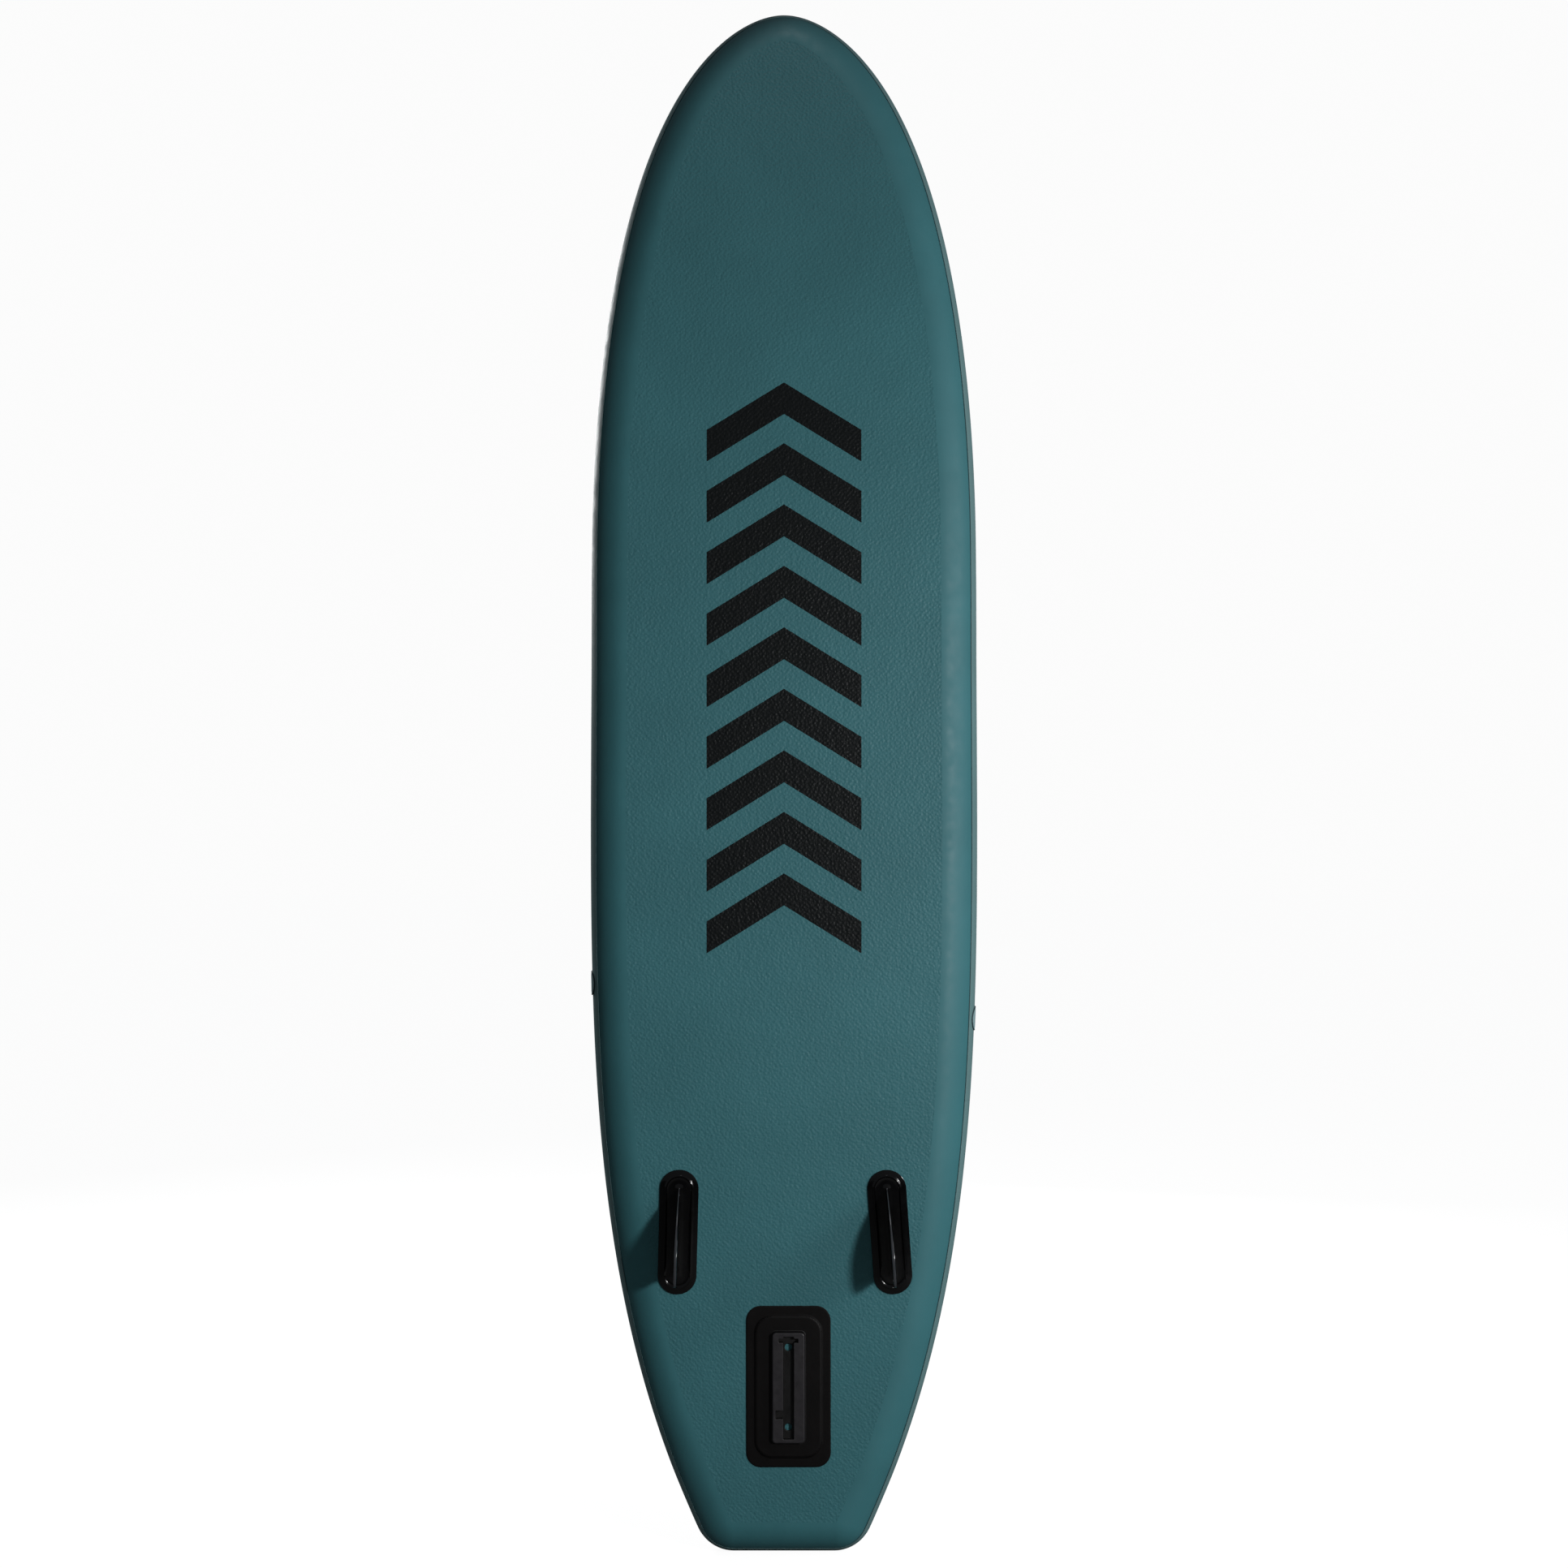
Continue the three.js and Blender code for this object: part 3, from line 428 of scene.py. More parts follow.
def webbing_look():
    """Ribbed nylon webbing with two rows of lock stitches."""
    look = Look("webbing", roughness=0.75)
    across, along, _ = look.axes(look.cloth)
    row = look.math("ABSOLUTE", look.minus(look.math("ABSOLUTE", across), 9.5 * MM))
    on_row = look.math("LESS_THAN", row, 0.45 * MM)
    on_stitch = look.math("LESS_THAN", look.math("FRACT", look.math("DIVIDE", along, 3.2 * MM)), 0.72)
    stitch = look.times(on_row, on_stitch)
    yarn = tinted(look, srgb(26, 28, 29), 0.3, 300, 3)
    look.set("Base Color", look.blend(stitch, yarn, srgb(92, 96, 97)))
    look.set("Sheen Weight", 0.3)
    ribs = woven(look, 1.6 * MM, 1.1 * MM)
    look.bump((ribs, 0.16 * MM), (stitch, 0.35 * MM), (look.noise(1500, 2), 0.05 * MM))
    return look.material


def braid_look():
    """Shock cord: crossing strands wound round the cord, a few of them lighter."""
    look = Look("shock_cord", roughness=0.7)
    around, along, _ = look.axes(look.cloth)
    strand = CORD_RADIUS * MM * TAU / 8
    drift = look.times(along, 0.7)
    one_way = look.wave(look.plus(around, drift), strand)
    other_way = look.wave(look.minus(around, drift), strand)
    braid = look.times(one_way, other_way)
    light = look.math("GREATER_THAN", look.wave(look.plus(around, drift), 8 * strand), 0.93)
    base = tinted(look, srgb(24, 26, 28), 0.25, 300, 2)
    shown = look.times(light, look.span(braid, -1, 1))
    look.set("Base Color", look.blend(shown, base, srgb(120, 126, 128)))
    look.set("Sheen Weight", 0.2)
    look.bump((braid, 0.3 * MM), (look.noise(1200, 2), 0.05 * MM))
    return look.material


def neoprene_look():
    """Knitted jersey over soft foam."""
    look = Look("neoprene", roughness=0.85)
    look.set("Base Color", tinted(look, srgb(33, 37, 39), 0.18, 60, 3))
    look.set("Sheen Weight", 0.35)
    look.bump((woven(look, 1.3 * MM, 0.9 * MM), 0.12 * MM), (look.noise(160, 2), 0.4 * MM))
    return look.material


def base_cloth_look():
    look = Look("base_cloth", roughness=0.85)
    look.set("Base Color", tinted(look, srgb(214, 214, 208), 0.06, 40, 3))
    x, _, z = look.axes()
    weave = look.times(look.wave(x, 1.2 * MM), look.wave(z, 1.2 * MM))
    look.bump((weave, 0.15 * MM))
    return look.material


def steel_look():
    look = Look("steel", roughness=0.2, metallic=1.0)
    look.set("Base Color", tinted(look, srgb(205, 207, 210), 0.06, 80, 2))
    look.set("Roughness", look.span(look.noise(220, 3), 0.3, 0.7, 0.14, 0.3))
    look.bump((look.noise(400, 2), 0.02 * MM))
    return look.material


def plain_look(name, roughness, tint, grain):
    """Moulded rubber or plastic: the tint is (colour, spread, scale), the grain (scale, detail, depth)."""
    look = Look(name, roughness=roughness)
    look.set("Base Color", tinted(look, *tint, 3))
    look.bump((look.noise(*grain[:2]), grain[2]))
    return look.material


CORD_RADIUS = 3.0  # millimetres

MATERIALS = {
    "hull_pvc": hull_look(),
    # the seams paint shade where the tape's edge steps over the rail
    "rail_pvc": rail_look("rail_pvc", RAIL_TEAL, seam=(BAND_GIRTH, BAND_GIRTH + 1.8, 0.6)),
    "rail_tape": rail_look(
        "rail_tape", TAPE_TEAL, seam=(BAND_GIRTH - 0.3, BAND_GIRTH + 1, 0.6), tape_end=0.29 * LENGTH,
    ),
    # its seam is a dark rim of painted shade round each rail pad
    "rail_moulding": rail_look("rail_moulding", MOULDING_TEAL, seam=(-1, 1.5, 0.95)),
    "deck_pvc": deck_look(),
    "patch_pvc": patch_look(),
    "moulded_plastic": moulded_look(),
    "fin_plastic": fin_look(),
    "pad_foam": foam_look(),
    "base_cloth": base_cloth_look(),
    "webbing": webbing_look(),
    "shock_cord": braid_look(),
    "neoprene": neoprene_look(),
    "steel": steel_look(),
    "rubber": plain_look("rubber", 0.7, (srgb(34, 34, 35), 0.15, 90), (700, 3, 0.06 * MM)),
    "valve_plastic": plain_look("valve_plastic", 0.45, (srgb(120, 126, 130), 0.06, 60), (1100, 2, 0.04 * MM)),
}


# ---------- mesh helpers ----------

CREASE = math.radians(40)  # an edge that turns by more than this stays sharp


def add_piece(
    node, word, vertices, faces, slot, body="board", replaces=None, matrix=None, cloth=None, look=None,
):
    """A smooth mesh that rides on a body, wears a material slot and stands for a CAD node.

    Its name is the node's with a word added, and it replaces that node unless others, or none, are listed.
    With a matrix the vertices are local millimetres. The cloth is a flat (across, along) place for each
    vertex. The look is the slot's own unless another one is named.
    """
    name = f"{node}_{word}"
    points = [matrix @ Vector(v) if matrix else Vector(v) for v in vertices]
    mesh = bpy.data.meshes.new(name)
    mesh.from_pydata([tuple(p) for p in points], [], faces)
    if cloth:
        layer = mesh.uv_layers.new(name="cloth")
        for loop in mesh.loops:
            layer.data[loop.index].uv = cloth[loop.vertex_index]
    tidy = bmesh.new()
    tidy.from_mesh(mesh)
    bmesh.ops.remove_doubles(tidy, verts=tidy.verts, dist=1e-6)
    bmesh.ops.recalc_face_normals(tidy, faces=tidy.faces)
    tidy.to_mesh(mesh)
    tidy.free()
    mesh.shade_smooth()
    mesh.set_sharp_from_angle(angle=CREASE)
    mesh.materials.append(MATERIALS[look or slot])
    piece = bpy.data.objects.new(name, mesh)
    scene.collection.objects.link(piece)
    if body:
        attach(piece, body)
    replaced = [node] if replaces is None else replaces
    if replaced:
        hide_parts(*replaced)
    return piece


def loft(rings, round_ring=True, round_loft=False, cap_ends=False):
    """Faces that join rings of equal length into one surface, as (vertices, faces)."""
    count = len(rings[0])
    vertices = [v for ring in rings for v in ring]
    faces = []
    for i in range(len(rings) if round_loft else len(rings) - 1):
        a, b = i * count, ((i + 1) % len(rings)) * count
        for j in range(count if round_ring else count - 1):
            k = (j + 1) % count
            faces.append((a + j, a + k, b + k, b + j))
    if cap_ends:
        faces.append(tuple(range(count)))
        faces.append(tuple(range(len(vertices) - count, len(vertices))))
    return vertices, faces


def rounded(points, radius, closed=True, steps=4):
    """Replace each corner of an outline with a short curve that starts and ends a radius away from it."""
    points = [Vector(p) for p in points]
    result = []
    for i, corner in enumerate(points):
        if not closed and i in (0, len(points) - 1):
            result.append(corner)
            continue
        before = points[i - 1] - corner
        after = points[(i + 1) % len(points)] - corner
        start = corner + before * min(0.45, radius / before.length)
        end = corner + after * min(0.45, radius / after.length)
        for step in range(steps + 1):
            t = step / steps
            result.append(start * (1 - t) ** 2 + corner * 2 * t * (1 - t) + end * t * t)
    return result


def inset(outline, distance):
    """Move a closed outline, drawn anticlockwise, inward along its mitres."""
    points = [Vector(p) for p in outline]
    result = []
    for i, point in enumerate(points):
        arriving = (point - points[i - 1]).normalized()
        leaving = (points[(i + 1) % len(points)] - point).normalized()
        a, b = Vector((-arriving.y, arriving.x)), Vector((-leaving.y, leaving.x))
        result.append(point + (a + b) * (distance / (1 + a.dot(b))))
    return result


def rectangle(width, length, corner, steps=8):
    """Rounded rectangle, anticlockwise, with true arcs."""
    points = []
    for sign_x, sign_z, start in ((1, 1, 0), (-1, 1, 0.25), (-1, -1, 0.5), (1, -1, 0.75)):
        for i in range(steps + 1):
            angle = TAU * (start + 0.25 * i / steps)
            x = sign_x * (width / 2 - corner) + corner * math.cos(angle)
            z = sign_z * (length / 2 - corner) + corner * math.sin(angle)
            points.append((x, z))
    return points


def circle(radius, count, middle=(0, 0)):
    angles = [TAU * i / count for i in range(count)]
    return [(middle[0] + radius * math.cos(a), middle[1] + radius * math.sin(a)) for a in angles]


class Skin:
    """A surface made of stepped walls along outlines, and flat faces with openings between them."""

    def __init__(self):
        self.vertices = []
        self.faces = []

    def wall(self, outline, profile):
        """Rings at (inset, height) pairs, joined; gives the first and the last ring."""
        rings = []
        for distance, height in profile:
            start = len(self.vertices)
            self.vertices += [Vector((x, height, z)) for x, z in inset(outline, distance)]
            rings.append(range(start, len(self.vertices)))
        for a, b in zip(rings, rings[1:]):
            for i in range(len(a)):
                j = (i + 1) % len(a)
                self.faces.append((a[i], a[j], b[j], b[i]))
        return rings[0], rings[-1]

    def fill(self, *loops):
        """A flat face inside the first loop and outside the others."""
        flat = [i for loop in loops for i in loop]
        lines = [[self.vertices[i] for i in loop] for loop in loops]
        self.faces += [tuple(flat[i] for i in triangle) for triangle in tessellate_polygon(lines)]

    def join(self, vertices, faces):
        """Take in another mesh."""
        offset = len(self.vertices)
        self.vertices += vertices
        self.faces += [tuple(i + offset for i in face) for face in faces]


def add_plate(node, word, outline, profile, slot, matrix, **options):
    """A sheet whose edge follows the profile."""
    skin = Skin()
    foot, top = skin.wall(outline, profile)
    skin.fill(top)
    skin.fill(foot)
    return add_piece(node, word, skin.vertices, skin.faces, slot, matrix=matrix, **options)


def add_turned(node, word, profile, slot, matrix, steps=48, closed=False, rim=None, **options):
    """Spin a profile of (radius, height) round the local Y; rim can reshape the radius at each angle."""
    rings = []
    for radius, height in profile:
        ring = []
        for i in range(steps):
            angle = TAU * i / steps
            reach = rim(radius, height, angle) if rim else radius
            ring.append((reach * math.cos(angle), height, reach * math.sin(angle)))
        rings.append(ring)
    vertices, faces = loft(rings, round_loft=closed)
    return add_piece(node, word, vertices, faces, slot, matrix=matrix, **options)


def sweep(path, section, side=None, closed=False):
    """Rings of a closed section carried along a path, and their cloth places.

    The section is a list of (across, up, cloth across). With a side the strap stays level with it,
    and without one it turns as little as it can.
    """
    count = len(path)
    ways = []
    for i in range(count):
        before = path[i - 1] if closed or i > 0 else path[0]
        after = path[(i + 1) % count] if closed or i < count - 1 else path[-1]
        ways.append((after - before).normalized())
    sides = [side or ways[0].orthogonal().normalized()]
    for way in ways[1:]:
        last = sides[-1]
        sides.append(side or (last - way * last.dot(way)).normalized())
    if closed and not side:
        # spread the twist left at the end of the loop over its whole length
        arriving = (sides[-1] - ways[0] * sides[-1].dot(ways[0])).normalized()
        twist = math.atan2(ways[0].dot(arriving.cross(sides[0])), arriving.dot(sides[0]))
        for i in range(count):
            sides[i] = Matrix.Rotation(twist * i / count, 3, ways[i]) @ sides[i]
    rings, cloth, travelled = [], [], 0.0
    for i in range(count + 1 if closed else count):
        k = i % count
        if i:
            travelled += (path[k] - path[i - 1]).length
        up = ways[k].cross(sides[k])
        rings.append([path[k] + sides[k] * x + up * y for x, y, _ in section])
        cloth += [(u * MM, travelled * MM) for _, _, u in section]
    return rings, cloth


def add_swept(node, word, path, section, slot, matrix, side=None, closed=False, **options):
    rings, cloth = sweep(path, section, side, closed)
    vertices, faces = loft(rings, round_ring=False, cap_ends=not closed)
    return add_piece(node, word, vertices, faces, slot, matrix=matrix, cloth=cloth, **options)


def rod_section(radius, count=14):
    """Round section; its first point is repeated at the end so that the cloth places don't wrap."""
    angles = [TAU * i / count for i in range(count + 1)]
    return [(radius * math.cos(a), radius * math.sin(a), radius * a) for a in angles]


def strap_section(width, thickness):
    half, up = width / 2, thickness / 2
    outline = rounded([(half, -up), (half, up), (-half, up), (-half, -up)], 0.8 * up, steps=3)
    return [(x, y, x) for x, y in [*outline, outline[0]]]


def arc(middle, radius, start, end, steps):
    """Points of an arc, angles in degrees."""
    angles = [math.radians(start + (end - start) * i / steps) for i in range(steps + 1)]
    return [(middle[0] + radius * math.cos(a), middle[1] + radius * math.sin(a)) for a in angles]


def smoothstep(value):
    t = min(1.0, max(0.0, value))
    return t * t * (3 - 2 * t)


# ---------- hull, deck and rails ----------

PANEL_COLUMNS = 24
VALVE_TUBE = 24.5  # outer radius of the valve's tube, in millimetres


def valve_frame():
    middle = centre("valve_cap")
    return local_frame(Vector((middle.x, DECK, middle.z)), UP, NOSEWARD)


def panel_sheet(node, outer, inner, slot):
    """A skin over the flat panel: its outer face at one height, its inner face at another."""
    rings = []
    for edge in EDGE:
        across = [edge.x * (2 * i / PANEL_COLUMNS - 1) for i in range(PANEL_COLUMNS + 1)]
        lift = rocker(edge.y)
        top = [(x, outer + lift, edge.y) for x in across]
        bottom = [(x, inner + lift, edge.y) for x in reversed(across)]
        rings.append(top + bottom)
    vertices, faces = loft(rings, cap_ends=True)
    return add_piece(node, "soft", vertices, faces, slot)


def rail_loop(radius, angle):
    """The closed line round the whole board at a radius and an angle up from the rail's widest line."""
    reach = radius * math.cos(angle)
    height = WIDEST_LEVEL + radius * math.sin(angle)
    right = []
    for edge, out in zip(EDGE, EDGE_OUT):
        x, z = edge.x + out.x * reach, edge.y + out.y * reach
        right.append((x, height + rocker(z), z))
    left = [(-x, y, z) for x, y, z in reversed(right[:-1])]
    return right + left


def bore_hole(piece, matrix, radius):
    """Cut a round hole through a sheet, along the Y of a local frame that stands on it."""
    rings = [[(x, height, z) for x, z in circle(radius, 64)] for height in (-10, 10)]
    vertices, faces = loft(rings, cap_ends=True)
    cutter = add_piece("hole", "cutter", vertices, faces, "rubber", body=None, replaces=(), matrix=matrix)
    piece.modifiers.new("hole", "BOOLEAN").object = cutter
    cut = piece.evaluated_get(bpy.context.evaluated_depsgraph_get())
    piece.data = bpy.data.meshes.new_from_object(cut)
    piece.modifiers.clear()
    bpy.data.objects.remove(cutter)


def rail_shell(node, inner, outer, half_angle, steps, look, rounding=0.0):
    """A closed piece along the rails, between two angles either side of the widest line.

    Its outer face is round. Its inner side, which is out of sight, is closed by one flat face.
    """
    angles = [math.radians(half_angle) * (2 * i / steps - 1) for i in range(steps + 1)]
    loops = [rail_loop(outer, angle) for angle in angles]
    if rounding:
        tuck = rounding / outer
        loops.insert(0, rail_loop(outer - rounding, angles[0] - tuck))
        loops.append(rail_loop(outer - rounding, angles[-1] + tuck))
    loops += [rail_loop(inner, angle) for angle in (angles[-1], angles[0])]
    vertices, faces = loft(loops, round_loft=True)
    girths = [abs(angle) * RAIL_RADIUS for angle in angles]
    if rounding:
        girths = [girths[0], *girths, girths[-1]]
    cloth = [(girth, 0) for girth in [*girths, 0, 0] for _ in loops[0]]
    return add_piece(node, "soft", vertices, faces, "rail_pvc", cloth=cloth, look=look)


def build_hull():
    panel_sheet("hull_skin", HULL_LEVEL, HULL_LEVEL + SHEET, "hull_pvc")
    deck = panel_sheet("deck_skin", DECK, DECK - SHEET, "deck_pvc")
    bore_hole(deck, valve_frame(), VALVE_TUBE + 1)
    rail_shell("rail_wall", RAIL_RADIUS - SHEET, RAIL_RADIUS, 90, 36, "rail_pvc")
    band_outer = RAIL_RADIUS + 1.5 * MM
    rail_shell("rail_band", RAIL_RADIUS, band_outer, BAND_ANGLE, 14, "rail_tape", rounding=0.6 * MM)


# ---------- fins ----------

def hull_frame(node):
    """Local frame of a piece glued to the hull, its Y away from the hull and its Z along the piece."""
    points = corners(node)
    level = points[:, 1].max()
    foot = points[points[:, 1] > level - 0.1 * MM][:, [0, 2]]
    middle = (foot.min(axis=0) + foot.max(axis=0)) / 2
    _, _, ways = np.linalg.svd(foot - foot.mean(axis=0))
    x, z = ways[0] if ways[0][1] > 0 else -ways[0]
    return local_frame(Vector((middle[0], level, middle[1])), -UP, Vector((x, 0, z)))


FIN = {
    "width": 79, "length": 253, "front": 92, "crest": -52, "heel": -91, "back": -86,
    "half_thickness": 4.2, "edge": 1.0, "crest_share": 1.7,
}
FIN_HEIGHT = (high("side_fin_left").y - low("side_fin_left").y) / MM


def fin_outline():
    """Side view of the blade as (along, away): curved leading edge, rounded tip, upright back."""
    tall = FIN_HEIGHT
    front, crest, heel, back = FIN["front"], FIN["crest"], FIN["heel"], FIN["back"]
    spans = [
        ((front, 0), (front * 0.72, tall * 0.45), (front * 0.2, tall), (crest, tall)),
        ((crest, tall), (heel * 0.86, tall), (heel, tall * 0.99), (heel, tall * 0.88)),
        ((heel, tall * 0.88), (heel, tall * 0.65), (heel * 0.86, tall * 0.4), (back, 0)),
    ]
    points = []
    for (p0, p1, p2, p3), steps in zip(spans, (26, 8, 12)):
        for i in range(steps):
            t = i / steps
            shares = ((1 - t) ** 3, 3 * t * (1 - t) ** 2, 3 * t * t * (1 - t), t ** 3)
            points.append(tuple(sum(s * p[k] for s, p in zip(shares, (p0, p1, p2, p3))) for k in (0, 1)))
    # the outline goes on through the base into the hull, so that the faces are full where they come out
    root = -18
    return [(front + 8, root), *points, (back, 0), (back, root)]


def blade():
    """Blade with an almost flat edge, widest at the crest, and faces that swell gently to the middle."""
    outline = [Vector(p) for p in fin_outline()]
    middle = Vector((sum(p.x for p in outline) / len(outline), FIN_HEIGHT * 0.4))
    widths = [FIN["edge"] * (1 + FIN["crest_share"] * max(0, p.y / FIN_HEIGHT) ** 3) for p in outline]
    half = []
    for depth, share in ((0, 0), (0, 0.45), (0.06, 0.8), (0.3, 0.97), (1.0, 1.02)):
        half.append([(p, w * share) for p, w in zip(inset(outline, depth), widths)])
    rim = half[-1]
    for share in (0.95, 0.85, 0.65, 0.4, 0.05):
        swell = math.sqrt(1 - share ** 2)
        half.append([
            (middle + (p - middle) * share, w + (FIN["half_thickness"] - w) * swell) for p, w in rim
        ])
    rings = [[(-w, p.y, p.x) for p, w in ring] for ring in reversed(half)]
    rings += [[(w, p.y, p.x) for p, w in ring] for ring in half[1:]]
    # cloth across 1 on the edge rings marks where the fin's material paints a grey highlight
    edge_rings = range(len(half) - 3, len(half) + 2)
    cloth = [(1.0 if i in edge_rings else 0.0, 0.0) for i, ring in enumerate(rings) for _ in ring]
    return *loft(rings, cap_ends=True), cloth


def build_side_fin(side):
    """Pill-shaped base with a raised ring, and the blade that grows out of its middle."""
    node = f"side_fin_{side}"
    profile = [
        (0, 0), (0, 2.4), (0.3, 2.9), (0.9, 3.1), (8.8, 3.1),
        (10, 3.4), (11, 4.4), (12.2, 5.3), (13.2, 5.3), (14.2, 4.4), (15.2, 3.4), (16.4, 3.1),
        (22, 3.1), (28, 3.2), (32, 3.6), (34.5, 4.5),
    ]
    base = Skin()
    outline = rectangle(FIN["width"], FIN["length"], FIN["width"] / 2 - 0.5, 12)
    foot, top = base.wall(outline, profile)
    base.fill(foot)
    base.fill(top)
    blade_vertices, blade_faces, blade_cloth = blade()
    cloth = [(0.0, 0.0)] * len(base.vertices) + blade_cloth
    base.join(blade_vertices, blade_faces)
    matrix = hull_frame(node)
    add_piece(node, "moulding", base.vertices, base.faces, "fin_plastic", matrix=matrix, cloth=cloth)


# millimetres; heights are above the hull
FIN_BOX = {
    "patch": (172, 328, 30), "flange": (134, 286, 34), "raised": (68.5, 226.5, 9),
    "flange_top": 4.4, "top": 15.5, "floor": 5.5, "hole": 7.5, "hole_spacing": 162,
}


def slot_outline():
    """Slot for a slide-in fin with its cross opening near the nose end and a notch in one lip."""
    half, end = 11, 104
    cross, cross_low, cross_high = 20, 92, 100
    notch, notch_low, notch_high = 26.5, -62.5, -45.5
    return rounded([
        (-half, -end), (half, -end), (half, notch_low), (notch, notch_low), (notch, notch_high),
        (half, notch_high), (half, cross_low), (cross, cross_low), (cross, cross_high), (half, cross_high),
        (half, end), (-half, end), (-half, cross_high), (-cross, cross_high), (-cross, cross_low),
        (-half, cross_low),
    ], 1.8)


def drain_holes():
    spacing = FIN_BOX["hole_spacing"]
    return [circle(FIN_BOX["hole"], 24, (0, side * spacing / 2)) for side in (-1, 1)]


def build_fin_box():
    """The fabric patch steps up over the flange and leaves the raised box open."""
    matrix = hull_frame("fin_patch")
    raised = rectangle(*FIN_BOX["raised"])
    top, floor, flange = FIN_BOX["top"], FIN_BOX["floor"], FIN_BOX["flange_top"]
    rim = flange + 0.3
    patch = Skin()
    border_edge = [(0, 0), (0.1, 0.8), (0.6, 1.1), (3, 1.2), (3.6, 1.2)]
    foot, border = patch.wall(rectangle(*FIN_BOX["patch"]), border_edge)
    step = [
        (-3.8, 1.2), (-3.2, 1.2), (-1.8, 1.5), (-0.7, 2.6), (0.3, 4.0), (1.2, rim - 0.1), (4, rim),
        (4.6, rim),
    ]
    step_foot, step_top = patch.wall(rectangle(*FIN_BOX["flange"], 12), step)
    opening = [(-3, rim), (-2.4, rim), (-1.7, rim - 0.3), (-1.5, rim - 1.2), (-1.5, 0.6)]
    opening_top, opening_foot = patch.wall(raised, opening)
    patch.fill(border, step_foot)
    patch.fill(step_top, opening_top)
    patch.fill(foot, opening_foot)
    add_piece("fin_patch", "sheet", patch.vertices, patch.faces, "patch_pvc", matrix=matrix)
    flange_edge = [(0, 1.5), (0, 3.8), (0.8, flange)]
    box_edge = [
        (-2, flange), (-1.4, flange), (-0.4, 4.7), (0, 5.6), (1, top - 2.9), (1.4, top - 1.4),
        (2.2, top - 0.5), (3.6, top), (4.1, top),
    ]
    slot_edge = [
        (-1.3, top), (-0.9, top), (-0.2, top - 0.3), (0, top - 1.1), (0.3, floor + 0.7), (0.9, floor),
        (1.4, floor),
    ]
    hole_edge = [(-1, floor), (-0.6, floor), (0, floor - 0.5), (0, 1.5)]
    box = Skin()
    flange_foot, flange_top = box.wall(rectangle(*FIN_BOX["flange"]), flange_edge)
    box_foot, box_top = box.wall(raised, box_edge)
    slot_top, slot_floor = box.wall(slot_outline(), slot_edge)
    holes = [box.wall(outline, hole_edge) for outline in drain_holes()]
    box.fill(flange_top, box_foot)
    box.fill(box_top, slot_top)
    box.fill(slot_floor, *[hole[0] for hole in holes])
    box.fill(flange_foot, *[hole[1] for hole in holes])
    add_piece("fin_box", "moulding", box.vertices, box.faces, "moulded_plastic", matrix=matrix)


# ---------- deck pads ----------

PAD_LOW = low("deck_pad_rear").y / MM
PAD_THICKNESS = 5
PAD_INSET = max(p.x for p in EDGE) / MM - high("deck_pad_front").x / MM
WELL = {"half_width": 65, "depth": 200}  # half of the opening round the carry handle


def pad_outline(outer, inner, corner):
    """Anticlockwise outline of one pad from its outer end to the end with the half well, in millimetres."""
    way = math.copysign(1, inner - outer)
    steps = 24

    def side(z):
        return edge_x(z * MM) / MM - PAD_INSET

    right = []
    for i in range(9):
        angle = TAU / 4 * i / 8
        z = outer + way * corner * (1 - math.cos(angle))
        right.append((side(z) - corner * (1 - math.sin(angle)), z))
    for i in range(1, steps + 1):
        z = outer + way * corner + (inner - outer - way * corner) * i / steps
        right.append((side(z), z))
    well, bottom = WELL["half_width"], inner - way * (WELL["depth"] - WELL["half_width"])
    right.append((well, inner))
    for i in range(13):
        angle = TAU / 4 * i / 12
        right.append((well * math.cos(angle), bottom - way * well * math.sin(angle)))
    left = [(-x, z) for x, z in reversed(right[:-1])]
    outline = [*right, *left]
    return outline if way > 0 else outline[::-1]


def build_pads():
    edge = [
        (0, 0), (0, 3.7), (0.4, 4.6), (1.4, 5), (13, 5), (13.5, 4.2), (14.2, 3.9), (14.8, 3.9), (15.5, 4.2),
        (16, 5),
    ]
    profile = [(distance, PAD_LOW + height) for distance, height in edge]
    for name, outer, inner, corner in (
        ("rear", low("deck_pad_rear").z, high("deck_pad_rear").z, 40),
        ("front", high("deck_pad_front").z, low("deck_pad_front").z, 90),
    ):
        outline = pad_outline(outer / MM, inner / MM, corner)
        add_plate(f"deck_pad_{name}", "foam", outline, profile, "pad_foam", BOARD_FRAME)


def build_kick_pad():
    """A wedge bowed toward the tail, its ends and its back edge rounded over."""
    start, stop = low("kick_pad"), high("kick_pad")
    half = stop.x / MM
    bow = 22
    back = start.z / MM + bow
    length = stop.z / MM - back
    height = (stop.y - start.y) / MM
    crown = [(0, 0), (0, height), (10, height), (length * 0.35, height * 0.86), (length * 0.62, height * 0.4)]
    section = rounded([*crown, (length * 0.8, PAD_THICKNESS + 1), (length, PAD_THICKNESS), (length, 0)], 6)
    end_radius = 9
    stations = [half * (2 * i / 48 - 1) for i in range(49)]
    stations += [sign * (half - end_radius * share) for sign in (-1, 1) for share in (0.05, 0.2, 0.45, 0.75)]
    rings = []
    for x in sorted(stations):
        past = max(0, abs(x) - (half - end_radius)) / end_radius
        drop = end_radius * 0.7 * (1 - math.sqrt(max(0, 1 - past ** 2)))
        shift = back - bow * (1 - (x / half) ** 2)
        rings.append([
            (x, start.y / MM + min(y, max(height - drop, y * (1 - drop / height))), shift + z)
            for z, y in section
        ])
    vertices, faces = loft(rings, cap_ends=True)
    add_piece("kick_pad", "foam", vertices, faces, "pad_foam", matrix=BOARD_FRAME)


# ---------- D-rings and bungee ----------

